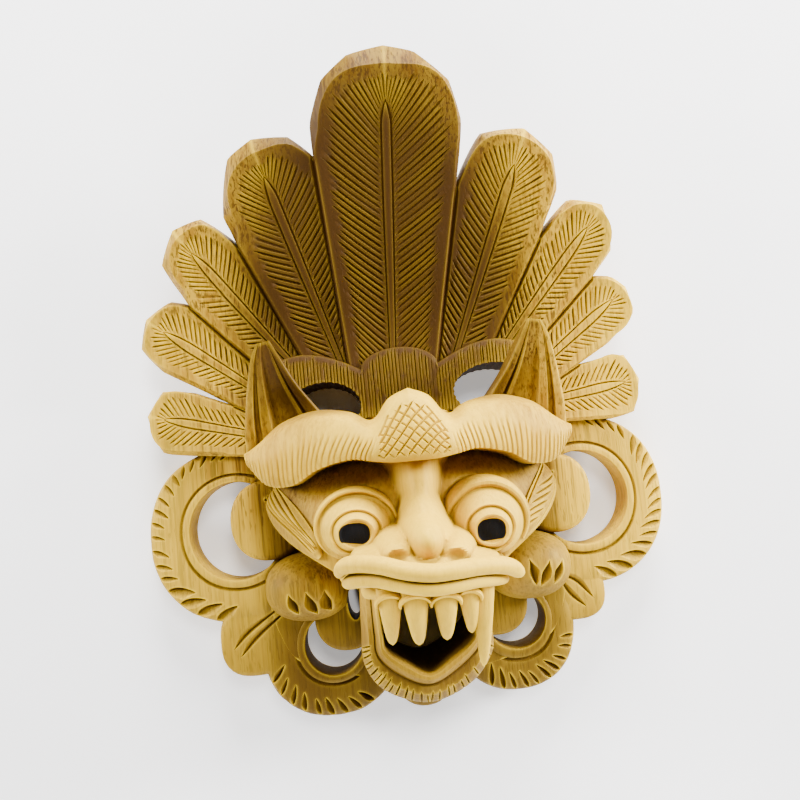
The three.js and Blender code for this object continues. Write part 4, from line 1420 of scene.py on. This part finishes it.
class MASK_PG_colours(bpy.types.PropertyGroup):
    """Colours of the wood with its painted shade and painted highlight, the paint and the floor."""

    wood_light: tint("Light wood", "Pale early wood", (0.54, 0.315, 0.01))
    wood_deep: tint("Deep wood", "Darker streaks of the wood", (0.3, 0.142, 0.002))
    # painted shade for the cuts and hollows, with a little wax that gathers there; a fifth of it fills
    # the mouth's cavity
    hollow: tint("Hollows", "Colour that gathers in cuts and hollows", (0.05, 0.0185, 0.0))
    # painted shade for the crown's middle, the left, beside the eyes and the foot
    painted_shade: tint("Old stain", "Darker wood in the crown and along the foot", (0.045, 0.0175, 0.0))
    pore: tint("Pores", "Short dark pores", (0.06, 0.025, 0.0))
    # paler wood for the edges, partly wear and partly painted highlight, and painted highlight on the
    # crown's outer parts and the raised face
    worn: tint("Worn edges", "Paler edges", (0.78, 0.5, 0.015))
    pupil: tint("Pupils", "Black paint", (0.003, 0.003, 0.004))
    floor: tint("Floor", "Pale floor", (0.95, 0.94, 0.94))


# ---- operators ----


class MaskOperator:
    """What the mask's operators share."""

    bl_options = {"REGISTER", "UNDO"}

    @property
    def sizes(self):
        """The scene's sizes of the fine cuts."""
        return bpy.context.scene.mask_sizes

    @property
    def colours(self):
        """The scene's colours."""
        return bpy.context.scene.mask_colours


class MASK_OT_ground(MaskOperator, bpy.types.Operator):
    """Lays out the plate, the band and the lobes that the face grows from"""

    bl_idname = "mask.ground"
    bl_label = "Plate, band and lobes"

    def execute(self, context):
        carve("mask_start", "plate", plate_skin())
        carve("mask_ground", "band", band_skin(self.sizes, 11))
        for name, at, half, power in (
            ("leaf_lobe_left", (-54, -74), (11, 11.5), 2.6),
            ("leaf_lobe_right", (50, -69), (10.5, 9.2), 2.6),
            ("chin_lobe", (-1, -88), (10, 12.1), 2.2),
        ):
            front = PLATE_FRONT - (0.5 if "leaf" in name else 0)
            carve("mask_ground", name, lobe_skin(at, half, flat_profile(front), 1, power, seed=3))
        for i, one in enumerate(BIG_SCROLLS + SMALL_SCROLLS):
            outline = rounded(one["hole_at"], (one["hole"][0] + 1.2, one["hole"][1] + 1.2), circle(96))
            carve("mask_clearing", f"scroll_clearing_{i}", prism(outline, -1, 60))
        return {"FINISHED"}


class MASK_OT_feathers(MaskOperator, bpy.types.Operator):
    """Carves the nine feathers of the crown with their ribs and barbs"""

    bl_idname = "mask.feathers"
    bl_label = "Feathers"

    def execute(self, context):
        feathers = [Feather(**one) for one in FEATHERS]
        for i, one in enumerate(feathers):
            others = [other for other in feathers if other is not one]
            carve("mask_face", f"feather_{i}", feather_skin(one, others, self.sizes, 40 + 2 * i))
        for i, shell in enumerate(boundary_cuts(feathers)):
            carve("mask_lines", f"feather_line_{i}", shell)
        return {"FINISHED"}


class MASK_OT_scrolls(MaskOperator, bpy.types.Operator):
    """Carves the scrolls, the round lobes before them and their crescent cuts"""

    bl_idname = "mask.scrolls"
    bl_label = "Scrolls"

    def execute(self, context):
        for i, one in enumerate(BIG_SCROLLS):
            carve("mask_face", f"big_scroll_{i}", scroll_skin(one, 128, 50 + i))
        for i, one in enumerate(SMALL_SCROLLS):
            carve("mask_face", f"small_scroll_{i}", scroll_skin(one, 96, 60 + i))
        for side in (1, -1):
            ring = lobe_skin((46.5, -36.5), (12, 12.8), flat_profile(15), side, seed=7)
            carve("mask_face", f"ring_lobe_{side}", ring)
            small = lobe_skin((24, -69.5), (10.3, 10.5), flat_profile(14), side, seed=8)
            carve("mask_face", f"small_lobe_{side}", small)
        runs = [
            (BIG_SCROLLS[0], [
                (124, 92, 5, 0.68, 8, 0.95, 1.3, -0.6),
                (134, 178, 6, 0.56, 3.5, 1.05, 1.2, -0.7),
                (188, 206, 3, 0.56, 8, 1.2, 1.3, -0.7), (217, 254, 4, 0.56, 14, 2.1, 1.9, -0.8),
            ]),
            (BIG_SCROLLS[1], [
                (82, 57, 4, 0.7, -9, 0.95, 1.3, 0.6), (44, -38, 11, 0.54, -9, 1.05, 1.2, 0.7),
                (-48, -74, 3, 0.54, -14, 2.1, 1.9, 0.8),
            ]),
            (SMALL_SCROLLS[0], [(206, 304, 9, 0.58, -9, 0.85, 1.3, 0.5)]),
            (SMALL_SCROLLS[1], [(-14, -118, 10, 0.52, -9, 0.85, 1.3, 0.5)]),
        ]
        for i, (one, marks) in enumerate(runs):
            carve("mask_cuts", f"scroll_cuts_{i}", merged(scroll_cuts(one, marks, 70 + i)))
        return {"FINISHED"}


class MASK_OT_head(MaskOperator, bpy.types.Operator):
    """Carves the head, nose, cheeks, temple leaves, ears and brow"""

    bl_idname = "mask.head"
    bl_label = "Head and brow"

    def execute(self, context):
        carve("mask_face", "head", head_skin())
        for side in (1, -1):
            carve("mask_face", f"cheek_{side}", cheek_skin(side))
            carve("mask_face", f"temple_leaf_{side}", temple_skin(side))
            carve("mask_features", f"ear_{side}", ear_skin(side))
            rib, veins = temple_cuts(side)
            carve("mask_cuts", f"temple_rib_{side}", merged(rib))
            if veins:
                carve("mask_cuts", f"temple_veins_{side}", merged(veins))
            carve("mask_cuts", f"cheek_cuts_{side}", merged(cheek_cuts(side)))
        carve("mask_features", "brow", brow_skin(self.sizes, 21))
        rising, falling = peak_cuts()
        carve("mask_cuts", "peak_rising", merged(rising))
        carve("mask_cuts", "peak_falling", merged(falling))
        return {"FINISHED"}


class MASK_OT_eyes(MaskOperator, bpy.types.Operator):
    """Turns the two eyes and rolls their lids over them"""

    bl_idname = "mask.eyes"
    bl_label = "Eyes"

    def execute(self, context):
        for eye, lid, side in zip(EYES, LIDS, ("left", "right")):
            carve("mask_features", f"eye_{side}", eye_skin(eye))
            carve("mask_features", f"lid_{side}", lid_skin(eye, lid))
        return {"FINISHED"}


class MASK_OT_mouth(MaskOperator, bpy.types.Operator):
    """Carves the lips, the gum, the teeth and the lower jaw with its fringe"""

    bl_idname = "mask.mouth"
    bl_label = "Mouth"

    def execute(self, context):
        carve("mask_features", "upper_lip", lip_skin(UPPER_LIP, (2.2, 3.6), 9, 13))
        carve("mask_features", "lower_lip", lip_skin(LOWER_LIP, (2.1, 3.2), 12, 8))
        carve("mask_features", "gum", gum_skin())
        for i, one in enumerate(TEETH):
            carve("mask_features", f"tooth_{i}", tooth_skin(**one))
        for i, one in enumerate(TEETH[:4]):
            carve("mask_features", f"socket_{i}", socket_skin(one))
        carve("mask_features", "jaw", jaw_skin())
        carve("mask_cuts", "jaw_cuts", merged(jaw_cuts()))
        return {"FINISHED"}


class MASK_OT_hollows(MaskOperator, bpy.types.Operator):
    """Cuts the hollow behind the face, the mouth, the slot beside it, the crown's holes and the
    veins of the leaf lobes"""

    bl_idname = "mask.hollows"
    bl_label = "Hollows"

    def execute(self, context):
        carve("mask_hollows", "hollow", egg_skin(HOLLOW["at"], HOLLOW["half"], 64, 128, 0.016))
        carve("mask_hollows", "mouth", mouth_skin())
        slot = rounded((-21.2, -65), (2.2, 5.5), circle(32))
        carve("mask_hollows", "cheek_slot", prism(slot, -1, 60))
        for i, one in enumerate(CROWN_HOLES):
            outline = rounded(one["at"], one["half"], circle(90))
            jag = 1 + 0.028 * np.abs(np.sin(circle(90) * 15))[:, None]
            outline = np.array(one["at"]) + (outline - np.array(one["at"])) * jag
            carve("mask_hollows", f"crown_hole_{i}", prism(outline, -1, 21))
        carve("mask_cuts", "leaf_veins", merged(vein_cuts()))
        return {"FINISHED"}


# A join that failed leaves fewer faces than this, and edges that bend more than this stay sharp.
LEAST_FACES = 50000
SHARP_EDGE = math.radians(34)


class MASK_OT_join(MaskOperator, bpy.types.Operator):
    """Joins all that was carved into one block of wood and finishes it"""

    bl_idname = "mask.join"
    bl_label = "Join and finish"

    def execute(self, context):
        block = collection("mask_start").objects[0]
        for group, operation in (
            ("mask_ground", "UNION"),
            ("mask_clearing", "DIFFERENCE"),
            ("mask_face", "UNION"),
            ("mask_hollows", "DIFFERENCE"),
            ("mask_features", "UNION"),
            ("mask_lines", "DIFFERENCE"),
            ("mask_cuts", "DIFFERENCE"),
        ):
            step = block.modifiers.new(group, "BOOLEAN")
            step.operation, step.solver = operation, "MANIFOLD"
            step.operand_type, step.collection = "COLLECTION", collection(group)
        context.view_layer.update()
        graph = context.evaluated_depsgraph_get()
        mesh = bpy.data.meshes.new_from_object(block.evaluated_get(graph))
        mesh.name = "carved_wood"
        if len(mesh.polygons) < LEAST_FACES:
            raise RuntimeError(f"the joined mask has only {len(mesh.polygons)} faces")
        for name in [c.name for c in bpy.data.collections if c.name.startswith("mask_")]:
            for obj in list(bpy.data.collections[name].objects):
                bpy.data.objects.remove(obj)
            bpy.data.collections.remove(bpy.data.collections[name])
        mesh.polygons.foreach_set("use_smooth", np.ones(len(mesh.polygons), bool))
        mesh.set_sharp_from_angle(angle=SHARP_EDGE)
        mesh.materials.clear()
        mesh.materials.append(wood_material(self.colours))
        mask = bpy.data.objects.new("carved_wood", mesh)
        context.scene.collection.objects.link(mask)
        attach(mask, "root")
        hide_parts(NODE)
        return {"FINISHED"}


# Soft lights: place, size across and power, all aimed at the mask's middle
LIGHTS = {
    "soft_left": ((-0.95, 0.3, 0.3), 0.4, 20),
    "soft_right": ((0.95, 0.3, 0.3), 0.4, 42),
    "soft_front": ((0.0, -0.95, 0.5), 0.6, 18),
    "soft_top": ((0.1, 1.0, 0.34), 0.5, 44),
    "soft_over": ((0.15, 0.5, 1.0), 0.4, 11),
}
SKY_COLOUR, SKY_STRENGTH = (0.95, 0.97, 1.0, 1), 0.1
FLOOR_HALF, FLOOR_HEIGHT = 1.5, -0.0002
# The camera's place, the way from the mask back to it, and its turn about that way
VIEW_FROM = (-0.011, -0.0278, 0.284)
VIEW_BACK = (0.0337, 0.0940, 1.0)
VIEW_ROLL = math.radians(5.2)
LENS, SENSOR = 37.35, 36.0


class MASK_OT_stage(MaskOperator, bpy.types.Operator):
    """Adds the floor, soft lights and the camera"""

    bl_idname = "mask.stage"
    bl_label = "Stage"

    def execute(self, context):
        link = context.scene.collection.objects.link
        corners = np.array([(-1, -1), (1, -1), (1, 1), (-1, 1)]) * FLOOR_HALF
        mesh = bpy.data.meshes.new("floor")
        mesh.from_pydata([(x, y, FLOOR_HEIGHT) for x, y in corners], [], [(0, 1, 2, 3)])
        mesh.materials.append(floor_material(self.colours))
        floor = bpy.data.objects.new("floor", mesh)
        link(floor)
        low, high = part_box(NODE)
        centre = (Vector(low) + Vector(high)) / 2
        for name, (place, size, power) in LIGHTS.items():
            data = bpy.data.lights.new(name, "AREA")
            data.shape, data.size, data.energy = "DISK", size, power
            light = bpy.data.objects.new(name, data)
            light.location = place
            light.rotation_euler = (centre - Vector(place)).to_track_quat("-Z", "Y").to_euler()
            link(light)
        world = bpy.data.worlds.new("studio")
        world.use_nodes = True
        sky = world.node_tree.nodes["Background"].inputs
        sky["Color"].default_value, sky["Strength"].default_value = SKY_COLOUR, SKY_STRENGTH
        context.scene.world = world
        data = bpy.data.cameras.new("camera")
        data.sensor_width, data.lens, data.clip_start = SENSOR, LENS, 0.01
        camera = bpy.data.objects.new("camera", data)
        back = Vector(VIEW_BACK).normalized()
        over = Vector((-math.sin(VIEW_ROLL), math.cos(VIEW_ROLL), 0))
        over = (over - back * back.dot(over)).normalized()
        turned = Matrix((over.cross(back), over, back)).to_4x4()
        camera.matrix_world = Matrix.Translation(VIEW_FROM) @ turned
        link(camera)
        context.scene.camera = camera
        return {"FINISHED"}


OPERATORS = (
    MASK_OT_ground,
    MASK_OT_feathers,
    MASK_OT_scrolls,
    MASK_OT_head,
    MASK_OT_eyes,
    MASK_OT_mouth,
    MASK_OT_hollows,
    MASK_OT_join,
    MASK_OT_stage,
)


class MASK_PT_panel(bpy.types.Panel):
    """Lists the mask's steps in their order"""

    bl_idname = "MASK_PT_panel"
    bl_label = "Guardian mask"
    bl_space_type = "VIEW_3D"
    bl_region_type = "UI"
    bl_category = "Mask"

    def draw(self, context):
        for operator in OPERATORS:
            self.layout.operator(operator.bl_idname)
        for group in (context.scene.mask_sizes, context.scene.mask_colours):
            box = self.layout.box()
            for name in group.__annotations__:
                box.prop(group, name)


CLASSES = (MASK_PG_sizes, MASK_PG_colours, *OPERATORS, MASK_PT_panel)


def register():
    """Registers the classes and the scene's settings."""
    for one in CLASSES:
        bpy.utils.register_class(one)
    bpy.types.Scene.mask_sizes = bpy.props.PointerProperty(type=MASK_PG_sizes)
    bpy.types.Scene.mask_colours = bpy.props.PointerProperty(type=MASK_PG_colours)


def unregister():
    """Takes them away again."""
    del bpy.types.Scene.mask_sizes
    del bpy.types.Scene.mask_colours
    for one in reversed(CLASSES):
        bpy.utils.unregister_class(one)


def main():
    """Builds the mask and its stage."""
    register()
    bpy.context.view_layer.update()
    for operator in OPERATORS:
        group, name = operator.bl_idname.split(".")
        getattr(getattr(bpy.ops, group), name)()


if __name__ == "__main__":
    main()
